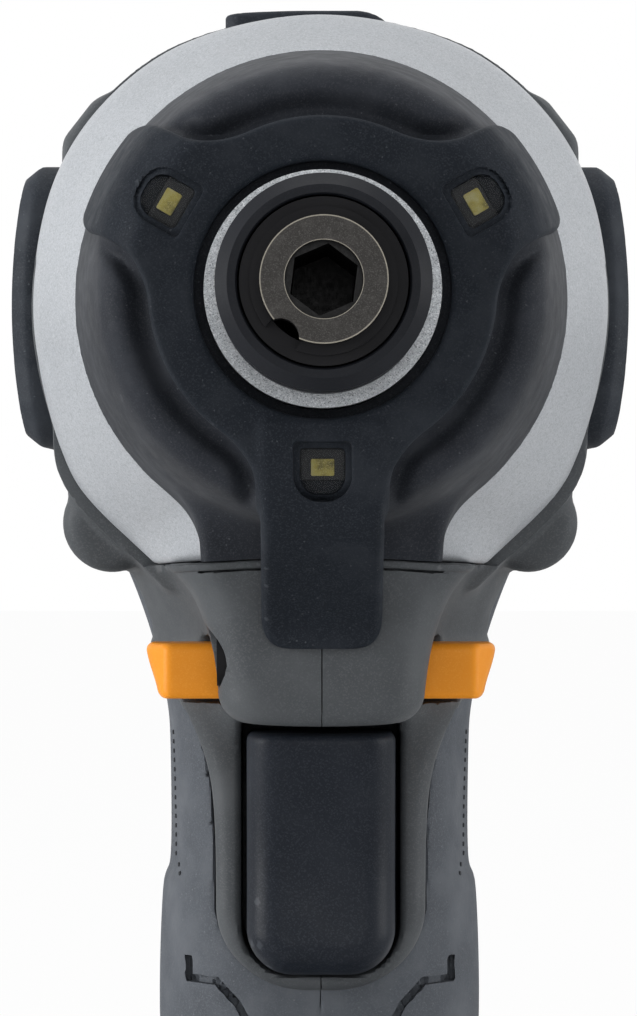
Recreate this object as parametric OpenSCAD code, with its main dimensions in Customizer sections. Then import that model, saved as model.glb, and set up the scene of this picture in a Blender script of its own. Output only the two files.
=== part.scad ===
// Cordless impact driver with a slide-on battery pack, built as an assembly of separate pieces.
// The working frame has the drive axis along Y, the bit tip plane at y = 0 and the axis at z = 0.
// The placed frame stands the pack on z = 0, with the tool centred on x = 0 and y = 0.

/* [Drive end] */
// Diameter of the anvil's front shank
anvil_shank_d = 13; // [12:0.1:14]
// Diameter of the anvil where it turns in its bush
anvil_journal_d = 15; // [14.4:0.1:16]
// Hexagon bit socket, across flats
bit_hex_af = 6.4; // [6.36:0.01:6.5]
// Depth of the bit socket from the tip
bit_depth = 24; // [18:0.5:28]
// Diameter of the round lead-in at the socket's mouth
mouth_d = 7.95; // [7.6:0.05:8.4]
// Outer diameter of the bit collar
collar_d = 22.2; // [20.5:0.1:23]
// Length of the bit collar
collar_len = 14.5; // [13.5:0.1:16]
// Distance that the collar sits behind the tip
collar_setback = 4; // [3:0.1:5]
// Distance that the collar is pulled forward to free a bit
collar_travel = 4.5; // [4.2:0.1:4.8]
// Diameter of the bit detent ball
ball_d = 3.5; // [3:0.1:3.8]

/* [Impact case] */
// Outer diameter of the metal impact case
case_d = 52; // [51:0.5:53]
// Wall of the impact case
case_wall = 4; // [3:0.1:4.2]
// Diameter of the case's nose
nose_d = 25; // [24:0.1:26]
// Length of the bush that carries the anvil
bush_len = 17; // [14:0.5:18]
// Diameter of the hammer
hammer_d = 40; // [37:0.5:41]
// Length of the hammer's body
hammer_len = 17; // [16:0.5:18]
// Length of the jaws on the anvil and the hammer
jaw_len = 6.5; // [5.5:0.1:7]
// Distance that the hammer backs off when it strikes
hammer_travel = 5; // [3:0.1:5.5]

/* [Gear train] */
// Gear module
gear_module = 0.8; // [0.78:0.01:0.82]
// Face width of the planet gears
gear_width = 7; // [6:0.5:8]
// Diameter of the planet pins
planet_pin_d = 5; // [4:0.1:6]

/* [Motor] */
// Outer diameter of the stator
stator_d = 46; // [44:0.5:48]
// Length of the stator's stack
stack_len = 16; // [14:0.5:20]
// Diameter of the rotor
rotor_d = 23; // [20:0.5:24]
// Diameter of the rotor shaft
shaft_d = 5; // [4:0.1:5.2]
// Diameter of the cooling fan
fan_d = 40; // [34:0.5:41]

/* [Nose] */
// Diameter of the opening in the lamp ring
ring_bore_d = 27.2; // [26.6:0.1:28]
// Diameter of the lamp ring's raised band
ring_band_d = 36.8; // [36:0.1:38]
// Distance of the lamps from the axis
lamp_radius = 18.7; // [18:0.1:19]
// Diameter of the boot where it meets the silver shroud
boot_d = 54.6; // [54.2:0.1:55.4]
// Diameter of the silver shroud
shroud_d = 64.8; // [63.5:0.1:65.5]

/* [Housing] */
// Diameter of the motor barrel
barrel_d = 67; // [66:0.5:69]
// Wall of the housing
wall = 2.6; // [2.2:0.1:3]
// Distance that the rubber side pads stand out of the barrel
pad_proud = 2.9; // [2:0.1:4]
// Width of the handle
handle_w = 34.8; // [33:0.1:37]
// Depth of the handle, front to back
handle_depth = 43; // [41:0.5:46]
// Length of the grip, from the barrel's axis to the foot
grip_drop = 120; // [112:1:130]
// Diameter of the housing screws
screw_d = 4; // [3.5:0.1:4]

/* [Controls] */
// Width of the trigger
trigger_w = 16.7; // [15.5:0.1:18]
// Height of the trigger
trigger_h = 27.6; // [25:0.1:29]
// Distance that the trigger travels
trigger_travel = 6.5; // [4:0.1:7]
// Overall length of the direction selector
selector_len = 39.4; // [38:0.1:42]
// Height of the direction selector
selector_h = 6.2; // [5.6:0.1:6.6]
// Distance that the selector moves each way
selector_travel = 2.5; // [2:0.1:3]

/* [Battery pack] */
// Diameter of a cell
cell_d = 18.4; // [18.2:0.1:18.8]
// Length of a cell
cell_len = 65.2; // [64.6:0.1:66]
// Wall of the pack's tub
pack_wall = 3; // [2.4:0.1:3.6]
// Distance that the pack slides to come off its rails
pack_travel = 72; // [60:1:76]
// Distance that a release button is pressed in
release_travel = 3; // [2.5:0.1:3.5]
// Thread hole in the hook inserts
insert_bore_d = 3.3; // [3.2:0.1:3.5]
// Depth of the hook inserts
insert_len = 8; // [7:0.5:9]

/* [Hidden] */
$fn = 96;

// Fits that every piece shares
run = 0.05;           // radial gap of a piece that turns or slides in its guide
slip = 0.3;           // gap between pieces that move past each other
seat = 0.1;           // gap of a fixed piece in its seat
axial_gap = 0.2;      // end float of a turning piece
cut = 1;              // overrun of every cut

// Bit collar and its spring
clip_t = 0.8;
clip_groove_depth = 0.5;
clip_d = 15.1;
clip_setback = 3.4;
washer_t = 0.8;
chamber_d = 17.8;
collar_spring_room = 3.2;
chamber_len = collar_travel + collar_spring_room;
collar_edge_d = 20;
collar_bevel_len = 1.6;
collar_groove_depth = 0.5;
collar_groove_len = 1.2;
collar_spring_wire = 0.7;
collar_spring_turns = 2.2;
ball_relief_depth = 1.3;
ball_land_len = 3.9;
ball_angle = 233;
ball_bite = 0.45;
mouth_len = 1.2;
notch_d = 3.8;
notch_depth = 1.1;

clip_y = clip_setback;
washer_y = clip_y + clip_t;
collar_y = collar_setback;
chamber_end_y = collar_y + chamber_len;
relief_y = chamber_end_y + ball_land_len;
collar_end_y = collar_y + collar_len;
ball_y = relief_y - ball_land_len / 2 - ball_d / 4;
ball_r = bit_hex_af / 2 - ball_bite + ball_d / 2;

// Impact case, bush and jaws
nose_gap = 0.7;
seal_len = 1.5;
bush_wall = 2;
thrust_t = 0.8;
thrust_d = 21;
nose_face_len = 8;
case_cone_len = 12;
case_bulge_len = 5;
jaw_reach_share = 0.84;
jaw_width_share = 0.34;
pilot_d = 8;
pilot_len = 9;
cam_shaft_d = 16;
cam_ball_d = 4.6;
cam_ball_setback = 4.4;
hammer_cup_d = 33;
hammer_cup_wall = 6.5;
hammer_spring_wire = 2.6;
hammer_spring_turns = 3;
spring_room = 1.2;

nose_y = collar_end_y + nose_gap;
bush_y = nose_y + seal_len;
case_floor_y = bush_y + bush_len;
jaw_y = case_floor_y + thrust_t + axial_gap;
jaw_end_y = jaw_y + jaw_len;
hammer_y = jaw_end_y + axial_gap;
hammer_end_y = hammer_y + hammer_len;
bush_d = anvil_journal_d + 2 * bush_wall;
jaw_reach = hammer_d / 2 * jaw_reach_share;
jaw_width = hammer_d * jaw_width_share;

// Gear train: a fixed ring, three planets and a sun on the rotor shaft
sun_teeth = 9;
planet_teeth = 21;
ring_teeth = sun_teeth + 2 * planet_teeth;
planet_count = 3;
pressure_angle = 25;
addendum_share = 0.8;
dedendum_share = 1.08;
backlash = 0.11;
flank_steps = 4;
ring_wall = 2.2;
plate_t = 3;
rear_plate_t = 2.2;
ring_overhang = 0.5;
spacer_d = 5;
spacer_r_share = 1.29;
hub_d = 15;
hub_bore_d = 10;
spindle_bearing_d = 24;
spindle_bearing_w = 5;
planet_angle = 90;

planet_r = gear_module * (sun_teeth + planet_teeth) / 2;
ring_root_r = gear_module * (ring_teeth / 2 + dedendum_share);
ring_d = 2 * (ring_root_r + ring_wall);
carrier_r = gear_module * (ring_teeth / 2 - addendum_share) - 4 * slip;
carrier_y = hammer_end_y + hammer_travel + spring_room;
gear_y = carrier_y + plate_t + axial_gap;
gear_end_y = gear_y + gear_width;
ring_y = gear_y - ring_overhang;
ring_end_y = gear_end_y + ring_overhang;
rear_plate_y = gear_end_y + axial_gap;
hub_y = rear_plate_y + rear_plate_t;
spindle_bearing_y = hub_y + axial_gap;
spindle_bearing_end_y = spindle_bearing_y + spindle_bearing_w;

// Gear plate and motor
case_lip = 2.8;
flange_t = 2;
plate_wall = 1.3;
pocket_wall = 2.4;
motor_bearing_d = 13;
motor_bearing_w = 4;
coil_overhang = 2.7;
coil_gap = 1.3;
stator_teeth = 6;
air_gap = 0.5;
stator_yoke = 4;
tooth_w = 6;
coil_t = 2.8;
shoe_t = 1.6;
shoe_w = 9;
board_t = 1.2;
board_gap = 0.3;
fan_len = 5;
fan_blades = 11;
fan_blade_t = 1.2;
fan_hub_d = 14;
fan_disc_t = 1.4;
fan_gap = 0.8;
rear_wall = 3;

case_end_y = ring_end_y + case_lip;
front_bearing_y = spindle_bearing_end_y + plate_wall + axial_gap;
front_bearing_end_y = front_bearing_y + motor_bearing_w;
stack_y = front_bearing_end_y + coil_gap + coil_overhang;
stack_end_y = stack_y + stack_len;
coil_end_y = stack_end_y + coil_overhang;
board_y = coil_end_y + board_gap;
fan_y = board_y + board_t + fan_gap;
fan_end_y = fan_y + fan_len;
rear_bearing_y = fan_end_y + fan_gap;
rear_bearing_end_y = rear_bearing_y + motor_bearing_w;
body_len = rear_bearing_end_y + rear_wall;

// Boot, lamp ring and shroud
ring_setback = 1.8;
ring_t = 3.5;
boot_shoulder_d = 48;
boot_shoulder_drop = 3;
boot_rim_d = 44;
boot_rim_drop = 0.8;
skirt_w = 26.8;
skirt_top_w = 36;
skirt_h = 9;
skirt_len = 8;
chin_top = 28.9;
lobe_w = 17.5;
lobe_end_r = 29;
lobe_corner_r = 4.5;
lobe_angle = 30;
tongue_w = 13.3;
tongue_bottom = 38.6;
window_w = 5.4;
window_h = 4.4;
chip_w = 2.6;
chip_t = 0.8;
lens_t = 0.9;
lens_setback = 0.4;
lamp_board_t = 1;
lamp_board_w = 3;
lamp_tab_w = 6.4;
shroud_cone_len = 11;
shroud_wall = 2.4;
shroud_rib_len = 4;
wing_corner_x = 17.9;
wing_top_x = 27;
wing_top_z = 18;
wing_inner_x = 12;

ring_y0 = nose_y + ring_setback;
boot_y = ring_y0 + ring_t;
boot_end_y = hammer_y;
shroud_y = boot_end_y + seat;
shroud_end_y = hammer_end_y;
lamp_board_y = boot_y - seat - lamp_board_t;
chip_y = lamp_board_y - chip_t;
lens_y = ring_y0 + lens_setback;
lamp_angles = [lobe_angle, 180 - lobe_angle, 270];

// Housing: barrel, bosses, chin, handle, foot
tail_len = 16;
tail_d = 60;
tail_end_d = 50;
tail_round_len = 4;
rib_w = 3;
rear_boss_d = 18;
upper_boss_r = 5.5;
lower_boss_r = 7.5;
upper_boss = [25.5, 21.3];
lower_boss = [23.5, -23.5];
boss_len = 32;
ear_t = 6;
screw_head_d = 6.4;
screw_head_t = 2.6;
chin_setback = 13.5;
chin_front_y = boot_y + chin_setback;
chin_bottom = 46.8;
chin_mid = 41;
chin_top_w = 35.6;
chin_mid_w = 25;
chin_bottom_w = 22;
chin_round_r = 9;
chin_len = 36;
cheek_w = 23.8;
cheek_bottom = 77.2;
cheek_setback = 18;
cheek_front_y = chin_front_y + cheek_setback;
cheek_len = 16;
grip_t = 1.5;
grip_top = chin_bottom + seat;
grip_bottom = 113;
handle_setback = 30;
handle_y = cheek_front_y + handle_setback;
squareness = 2.6;
ring_points = 28;
// Rows of the handle: drop, lean back, width and depth, as shares of grip drop, depth, width and depth
handle_shares = [[0.15, 0, 1.74, 1.58], [0.235, 0, 1.50, 1.40], [0.285, 0, 1.31, 1.27],
    [0.34, 0, 1.13, 1.16], [0.40, 0, 1.03, 1.09], [0.50, 0.01, 0.985, 1.02], [0.66, 0.035, 1, 1],
    [0.83, 0.075, 0.99, 0.98], [0.94, 0.09, 1.02, 1.02], [1.0, 0.09, 1.16, 1.14], [1.03, 0.09, 1.30, 1.24]];
foot_w = 64;
rail_spare = 5.4;
terminal_len = 12;
foot_reach = 53;
foot_y = handle_y - foot_reach;
foot_r = 10;
foot_top_t = 7;
rail_room = 9;
rail_lip_t = 2.5;
rail_lip_w = 4;
foot_wall = 6;
foot_rear_wall = 11;
insert_d = 5;
insert_y_share = 0.2;

foot_top = grip_drop - wall;
foot_len = pack_travel - rail_spare + foot_rear_wall + terminal_len + slip + seat;
foot_cavity_top = foot_top + foot_top_t;
foot_lip_top = foot_cavity_top + rail_room;
foot_bottom = foot_lip_top + rail_lip_t;
rail_w = foot_w - 2 * foot_wall;
foot_end_y = foot_y + foot_len;
barrel_y = shroud_end_y + seat;
pads_w = barrel_d + 2 * pad_proud;
tail_y = body_len - tail_len;
insert_z = -(foot_top + foot_top_t / 2);
insert_y = foot_y + foot_len * insert_y_share;

// Screws that join the two halves, as place along the axis, height and half length
join_boss_wall = 1.6;
join_boss_d = screw_head_d + 2 * slip + 2 * join_boss_wall;
chin_screw_drop = 39.4;
chin_screw_half = 11.5;
grip_screw_setback = 9;
grip_screw_drop = 78;
grip_screw_half = 13;
front_screw_lead = 10;
front_screw_drop = 84;
front_screw_half = 10.5;
tail_screw_rise = 26.5;
tail_screw_half = 7.5;
foot_screw_half = 24;
screw_places = [[chin_front_y + join_boss_d / 2 + seat, -chin_screw_drop, chin_screw_half],
    [handle_y + grip_screw_setback, -grip_screw_drop, grip_screw_half],
    [handle_y - front_screw_lead, -front_screw_drop, front_screw_half],
    [tail_y + screw_d, tail_screw_rise, tail_screw_half],
    [tail_y + screw_d, -tail_screw_rise, tail_screw_half],
    [foot_end_y - foot_rear_wall / 2, -(foot_cavity_top + foot_lip_top) / 2, foot_screw_half]];

// Side pads and top bumper
pad_h = 33;
pad_len = 34;
pad_setback = 3;
pad_y = shroud_end_y + pad_setback;
pad_curve_r = 75;
bumper_w = 20.4;
bumper_proud = 3.9;
bumper_top = barrel_d / 2 + bumper_proud;
bumper_len = 26;
bumper_setback = 24;
bumper_y = shroud_end_y + bumper_setback;
bumper_shift = -1.1;
bumper_bevel = 4;

// Trigger, switch and selector
trigger_top = chin_bottom + slip + seat;
trigger_corner_r = 7;
trigger_proud = 8;
trigger_front_y = cheek_front_y - trigger_proud;
trigger_depth = 13;
trigger_round_r = 4;
switch_w = 18;
switch_len = 28;
switch_h = 24;
switch_gap = 1;
switch_top = chin_bottom + switch_gap;
plunger_d = 6;
plunger_drop = 11;
trigger_spring_wire = 0.8;
trigger_spring_d = 9;
trigger_spring_turns = 5;
bellows_gap = 3;
selector_depth = 8.5;
selector_z = -41.2;
selector_setback = 15;
selector_y = chin_front_y + selector_setback;
selector_neck_h = 5;
fork_w = 4.4;
fork_len = 4.5;
lever_d = 5;
lever_pin_d = 3;
lever_w = 3.2;
lever_arm = 16;
lever_t = 2.4;

trigger_end_y = trigger_front_y + trigger_depth;
switch_y = trigger_end_y + trigger_travel + bellows_gap;
plunger_z = -(trigger_top + plunger_drop);
lever_y = selector_y + selector_depth / 2 + lever_arm;

// Electrics in the grip and foot
module_w = 20;
module_t = 5;
module_h = 26;
module_top = 84;
module_gap = 3;
module_y = handle_y + module_gap;
seat_rib_w = 4;
terminal_w = 36;
terminal_h = 8;
blade_count = 4;
blade_w = 6;
blade_t = 0.8;
blade_len = 14;
blade_pitch = 9;

// Battery pack
cell_count = 5;
cell_gap = 0.4;
pack_corner_r = 9;
pack_end_gap = 3;
pack_side_gap = 4.4;
pack_floor_gap = 2;
lid_t = 14;
pack_lead = 13;
rail_neck_gap = 0.4;
contact_t = 1;
contact_w = 4;
button_len = 24;
button_h = 7;
button_drop = 5;
button_front = 16;
button_flange = 1.6;
latch_w = 8;
pack_screw_d = 2.6;
pack_head_d = 5;
pack_head_t = 1.8;
pack_boss_d = 4.2;
pack_screw_inset = 8;
pack_screw_bite = 8;

pack_len = cell_count * (cell_d + cell_gap) + 2 * pack_end_gap + 2 * pack_wall;
pack_w = cell_len + 2 * pack_side_gap + 2 * pack_wall;
pack_front_y = foot_y - pack_lead;
pack_end_y = pack_front_y + pack_len;
lid_top = foot_bottom + slip;
tub_top = lid_top + lid_t;
cell_z = -(tub_top + pack_floor_gap + cell_d / 2);
pack_bottom = -cell_z + cell_d / 2 + pack_floor_gap + pack_wall;
terminal_y = foot_end_y - foot_rear_wall - seat - terminal_len;
rail_end_y = terminal_y - slip;
rail_front_y = foot_y + slip;
axis_h = pack_bottom;

// Shared shapes
module along_y(y) translate([0, y, 0]) rotate([-90, 0, 0]) children();
module at_angle(a) rotate([0, -a, 0]) children();
module rod(y0, y1, d) along_y(y0) cylinder(h = y1 - y0, d = d);
module tube(y0, y1, d_out, d_in) difference() {
    rod(y0, y1, d_out);
    rod(y0 - cut, y1 + cut, d_in);
}
// A revolved piece from points of radius and place along the drive axis
module turned(points) along_y(0) rotate_extrude() polygon(points);
module plate_xz(y0, y1) translate([0, y1, 0]) rotate([90, 0, 0]) linear_extrude(y1 - y0) children();
module plate_xy(z0, z1) translate([0, 0, z0]) linear_extrude(z1 - z0) children();
module plate_yz(x0, x1) translate([x0, 0, 0]) rotate([90, 0, 90]) linear_extrude(x1 - x0) children();
module block(x0, x1, y0, y1, z0, z1) translate([x0, y0, z0]) cube([x1 - x0, y1 - y0, z1 - z0]);
module rounded(w, h, r) {
    square([w - 2 * r, h], center = true);
    square([w, h - 2 * r], center = true);
    for (i = [-1, 1], j = [-1, 1]) translate([i * (w / 2 - r), j * (h / 2 - r)]) circle(r);
}
module mirrored_x() {
    children();
    mirror([1, 0, 0]) children();
}

// Involute gear outlines
function involute(a) = tan(a) * 180 / PI - a;
function half_tooth(r, base_r, half) = half + involute(pressure_angle) - involute(acos(min(1, base_r / r)));
function polar(r, a) = [r * cos(a), r * sin(a)];
function tooth_points(teeth, tip_r, root_r, thin) =
    let (pitch_r = gear_module * teeth / 2,
        base_r = pitch_r * cos(pressure_angle),
        start_r = max(base_r, root_r),
        half = 90 / teeth - thin / 2 / pitch_r * 180 / PI,
        radii = [for (i = [0 : flank_steps]) start_r + (tip_r - start_r) * i / flank_steps],
        angles = [for (r = radii) half_tooth(r, base_r, half)])
    [for (k = [0 : teeth - 1]) let (mid = 360 / teeth * k) each concat(
        [polar(root_r, mid - angles[0])],
        [for (i = [0 : flank_steps]) polar(radii[i], mid - angles[i])],
        [for (i = [flank_steps : -1 : 0]) polar(radii[i], mid + angles[i])],
        [polar(root_r, mid + angles[0])])];
module gear_outline(teeth) polygon(tooth_points(teeth, gear_module * (teeth / 2 + addendum_share),
    gear_module * (teeth / 2 - dedendum_share), backlash / 2));
module ring_space() polygon(tooth_points(ring_teeth, gear_module * (ring_teeth / 2 + dedendum_share),
    gear_module * (ring_teeth / 2 - addendum_share), -backlash / 2));

// A coil spring along the drive axis, as one swept tube
spring_sides = 6;
rings_per_turn = 12;
module coil_spring(y0, y1, coil_d, wire, turns) {
    count = round(turns * rings_per_turn);
    rise = y1 - y0 - wire;
    rings = [for (i = [0 : count]) [for (j = [0 : spring_sides - 1])
        let (a = 360 * turns * i / count, b = 360 * j / spring_sides,
            r = coil_d / 2 + wire / 2 * cos(b))
        [r * cos(a), y0 + wire / 2 + rise * i / count + wire / 2 * sin(b), r * sin(a)]]];
    sides = [for (i = [0 : count - 1], j = [0 : spring_sides - 1])
        let (n = spring_sides, k = (j + 1) % n, a = i * n + j, b = i * n + k, c = a + n, d = b + n)
        each [[a, d, b], [a, c, d]]];
    last = count * spring_sides;
    caps = [for (j = [1 : spring_sides - 2]) each [[0, j, j + 1], [last, last + j + 1, last + j]]];
    polyhedron([for (ring = rings) each ring], concat(sides, caps));
}

// Anvil: shank with a bit socket, journal, hub and two jaws
module anvil() color("dimgray") difference() {
    union() {
        rod(0, nose_y - axial_gap, anvil_shank_d);
        rod(nose_y - axial_gap, jaw_y, anvil_journal_d);
        rod(jaw_y, jaw_end_y, bush_d - bush_wall);
        intersection() {
            rod(jaw_y, jaw_end_y, 2 * jaw_reach);
            block(-jaw_reach, jaw_reach, jaw_y, jaw_end_y, -jaw_width / 2, jaw_width / 2);
        }
    }
    rod(-cut, mouth_len, mouth_d);
    at_angle(ball_angle) along_y(-cut) rotate([0, 0, 30])
        cylinder(h = bit_depth + cut, d = bit_hex_af / cos(30), $fn = 6);
    at_angle(ball_angle) translate([ball_r, ball_y, 0]) {
        sphere(d = ball_d + 2 * run);
        rotate([0, 90, 0]) cylinder(h = anvil_shank_d, d = ball_d + 2 * run);
    }
    at_angle(ball_angle) translate([(anvil_shank_d + notch_d) / 2 - notch_depth, 0, 0])
        rod(-cut, ball_y, notch_d);
    tube(clip_y - run, washer_y + run, anvil_shank_d + cut, anvil_shank_d - 2 * clip_groove_depth);
    rod(jaw_end_y - pilot_len - axial_gap, jaw_end_y + cut, pilot_d + 2 * run);
}
module detent_ball() color("silver") at_angle(ball_angle) translate([ball_r, ball_y, 0]) sphere(d = ball_d);
module collar_clip() color("black") difference() {
    tube(clip_y, washer_y - run, clip_d, anvil_shank_d - 2 * clip_groove_depth + 2 * run);
    at_angle(ball_angle) block(0, clip_d, clip_y - cut, washer_y + cut, -notch_d / 2, notch_d / 2);
}
module collar_washer() color("black")
    tube(washer_y, washer_y + washer_t, chamber_d - 2 * slip, anvil_shank_d + 2 * run);
module collar_spring() color("gray") coil_spring(washer_y + washer_t + run, chamber_end_y - run,
    (chamber_d + anvil_shank_d) / 2, collar_spring_wire, collar_spring_turns);
module bit_collar() color("black") {
    land_r = anvil_shank_d / 2 + run;
    groove_y = collar_y + 2 * collar_bevel_len;
    difference() {
        turned([[chamber_d / 2, collar_y], [collar_edge_d / 2, collar_y],
            [collar_d / 2, collar_y + collar_bevel_len],
            [collar_d / 2, collar_end_y], [land_r + ball_relief_depth, collar_end_y],
            [land_r + ball_relief_depth, relief_y], [land_r, relief_y], [land_r, chamber_end_y],
            [chamber_d / 2, chamber_end_y]]);
        for (k = [0 : 2]) let (y = groove_y + 2 * k * collar_groove_len)
            tube(y, y + collar_groove_len, collar_d + cut, collar_d - 2 * collar_groove_depth);
    }
}

// Impact case with its bush and thrust washer
module anvil_bush() color("goldenrod")
    tube(bush_y, case_floor_y, bush_d, anvil_journal_d + 2 * run);
module thrust_washer() color("silver")
    tube(case_floor_y, case_floor_y + thrust_t, thrust_d, anvil_journal_d + 2 * run);
// Lugs of the case, trapped in the housing's bosses
boss_sizes = [[upper_boss, upper_boss_r], [lower_boss, lower_boss_r]];
module boss_ears(grow) for (b = boss_sizes) mirrored_x() at_angle(atan2(b[0][1], b[0][0]))
    block(case_d / 2 - case_wall / 2, norm(b[0]) + wall / 2 + grow, ear_y - grow, ear_y + ear_t + grow,
        wall - b[1] - grow, b[1] - wall + grow);
ear_y = shroud_end_y + 2 * seat + rib_w;
case_cone_d = case_d - case_wall;
cone_y = nose_y + nose_face_len;
cone_end_y = cone_y + case_cone_len;
bulge_y = cone_end_y + case_bulge_len;
module impact_case() color("silver") {
    turned([[anvil_journal_d / 2 + slip, nose_y], [nose_d / 2, nose_y], [nose_d / 2, cone_y],
        [case_cone_d / 2, cone_end_y], [case_d / 2, bulge_y], [case_d / 2, case_end_y],
        [ring_d / 2 + seat, case_end_y], [ring_d / 2 + seat, ring_y], [case_d / 2 - case_wall, ring_y],
        [case_d / 2 - case_wall, case_floor_y], [bush_d / 2 + run, case_floor_y], [bush_d / 2 + run, bush_y],
        [anvil_journal_d / 2 + slip, bush_y]]);
    boss_ears(0);
}

// Hammer, its spring and cam balls
hammer_hub_d = cam_shaft_d + hammer_cup_wall - 2 * slip;
cam_ball_y = hammer_y + cam_ball_setback;
module cam_ball_places() for (s = [-1, 1]) translate([s * cam_shaft_d / 2, cam_ball_y, 0]) children();
module hammer() color("slategray") difference() {
    union() {
        rod(hammer_y, hammer_end_y, hammer_d);
        intersection() {
            tube(jaw_y + 2 * slip, hammer_y + cut, hammer_d, bush_d + 2 * slip);
            block(-jaw_width / 2, jaw_width / 2, jaw_y, hammer_y + cut, -hammer_d, hammer_d);
        }
    }
    rod(hammer_y - cut, hammer_end_y + cut, cam_shaft_d + 2 * run);
    tube(hammer_y + hammer_cup_wall, hammer_end_y + cut, hammer_cup_d, hammer_hub_d);
    cam_ball_places() {
        sphere(d = cam_ball_d + 2 * run);
        rod(-cam_ball_setback - cut, 0, cam_ball_d + 2 * run);
    }
}
module hammer_spring() color("gray") coil_spring(hammer_y + hammer_cup_wall + run, carrier_y - run,
    (hammer_cup_d + hammer_hub_d) / 2, hammer_spring_wire, hammer_spring_turns);
module cam_balls() color("silver") cam_ball_places() sphere(d = cam_ball_d);

// Spindle: cam shaft, planet carrier and rear hub in one piece
module planet_places() for (k = [0 : planet_count - 1]) at_angle(planet_angle + 360 / planet_count * k)
    translate([planet_r, 0, 0]) children();
module spindle() color("darkgray") difference() {
    union() {
        rod(jaw_end_y - pilot_len, jaw_end_y + cut, pilot_d);
        rod(jaw_end_y + axial_gap, carrier_y + cut, cam_shaft_d);
        rod(carrier_y, carrier_y + plate_t, 2 * carrier_r);
        rod(rear_plate_y, hub_y, 2 * carrier_r);
        rod(hub_y - cut, spindle_bearing_end_y - axial_gap, hub_d);
        for (k = [0 : planet_count - 1]) at_angle(planet_angle + 360 / planet_count * (k + 0.5))
            translate([planet_r * spacer_r_share, 0, 0]) rod(carrier_y, hub_y, spacer_d);
    }
    cam_ball_places() sphere(d = cam_ball_d + 2 * run);
    planet_places() rod(carrier_y - cut, hub_y + cut, planet_pin_d + 2 * run);
    rod(rear_plate_y - cut, spindle_bearing_end_y + cut, hub_bore_d);
}
module planet_pins() color("silver") planet_places() rod(carrier_y + run, hub_y - run, planet_pin_d);
module planet_gear(k) color("gray") at_angle(planet_angle + 360 / planet_count * k)
    translate([planet_r, 0, 0]) difference() {
        along_y(gear_y) linear_extrude(gear_width) gear_outline(planet_teeth);
        rod(gear_y - cut, gear_end_y + cut, planet_pin_d + 2 * run);
    }
module ring_gear() color("gray") difference() {
    rod(ring_y, ring_end_y, ring_d);
    at_angle(planet_angle) along_y(ring_y - cut)
        linear_extrude(ring_end_y - ring_y + 2 * cut) ring_space();
}
module spindle_bearing() color("silver") tube(spindle_bearing_y, spindle_bearing_end_y,
    spindle_bearing_d, hub_d + 2 * run);

// Gear plate: closes the case and carries the spindle bearing and the front motor bearing
module gear_plate() color("lightgray") {
    clear_r = carrier_r + 2 * slip;
    boss_r = spindle_bearing_d / 2 + pocket_wall;
    neck_r = motor_bearing_d / 2 + pocket_wall;
    pocket_r = motor_bearing_d / 2 + seat;
    seat_r = spindle_bearing_d / 2 + seat;
    flange_y = case_end_y + flange_t;
    neck_y = spindle_bearing_end_y + seat;
    turned([[clear_r, ring_end_y + seat], [ring_d / 2, ring_end_y + seat], [ring_d / 2, case_end_y],
        [case_d / 2, case_end_y], [case_d / 2, flange_y], [boss_r, flange_y],
        [boss_r, front_bearing_y - axial_gap], [neck_r, front_bearing_y - axial_gap],
        [neck_r, front_bearing_end_y], [pocket_r, front_bearing_end_y], [pocket_r, front_bearing_y - seat],
        [hub_bore_d / 2, front_bearing_y - seat], [hub_bore_d / 2, neck_y], [seat_r, neck_y],
        [seat_r, spindle_bearing_y], [clear_r, spindle_bearing_y]]);
}

// Motor
module stator_arms() for (k = [0 : stator_teeth - 1]) at_angle(360 / stator_teeth * k) children();
shoe_r = rotor_d / 2 + air_gap;
yoke_r = stator_d / 2 - stator_yoke;
module stator() color("dimgray") difference() {
    union() {
        tube(stack_y, stack_end_y, stator_d, 2 * yoke_r);
        stator_arms() {
            block(0, yoke_r + cut, stack_y, stack_end_y, -tooth_w / 2, tooth_w / 2);
            block(0, shoe_r + shoe_t, stack_y, stack_end_y, -shoe_w / 2, shoe_w / 2);
        }
    }
    rod(stack_y - cut, stack_end_y + cut, 2 * shoe_r);
}
module stator_coils() color("peru") stator_arms() difference() {
    block(shoe_r + shoe_t + seat, yoke_r - 2 * seat - coil_t / 2, stack_y - coil_overhang, coil_end_y,
        -tooth_w / 2 - coil_t, tooth_w / 2 + coil_t);
    block(shoe_r, yoke_r, stack_y - seat, stack_end_y + seat, -tooth_w / 2 - seat, tooth_w / 2 + seat);
}
module rotor() color("gray") tube(stack_y, stack_end_y, rotor_d, shaft_d + 2 * run);
module rotor_shaft() color("silver") {
    rod(gear_end_y, rear_bearing_end_y - axial_gap, shaft_d);
    at_angle(planet_angle) along_y(gear_y)
        linear_extrude(gear_width + ring_overhang) gear_outline(sun_teeth);
}
module fan() color("black") difference() {
    union() {
        rod(fan_y, fan_end_y, fan_hub_d);
        rod(fan_y, fan_y + fan_disc_t, fan_d);
        for (k = [0 : fan_blades - 1]) at_angle(360 / fan_blades * k)
            block(0, fan_d / 2 - fan_blade_t, fan_y, fan_end_y, -fan_blade_t / 2, fan_blade_t / 2);
    }
    rod(fan_y - cut, fan_end_y + cut, shaft_d + 2 * run);
}
module front_bearing() color("silver")
    tube(front_bearing_y, front_bearing_end_y, motor_bearing_d, shaft_d + 2 * run);
module rear_bearing() color("silver")
    tube(rear_bearing_y, rear_bearing_end_y, motor_bearing_d, shaft_d + 2 * run);
// The sensor board lies inside the screw bosses of the housing's tail
motor_board_d = 2 * tail_screw_rise - join_boss_d - 4 * slip;
module motor_board() color("green") tube(board_y, board_y + board_t, motor_board_d, 2 * motor_bearing_d);

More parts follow.
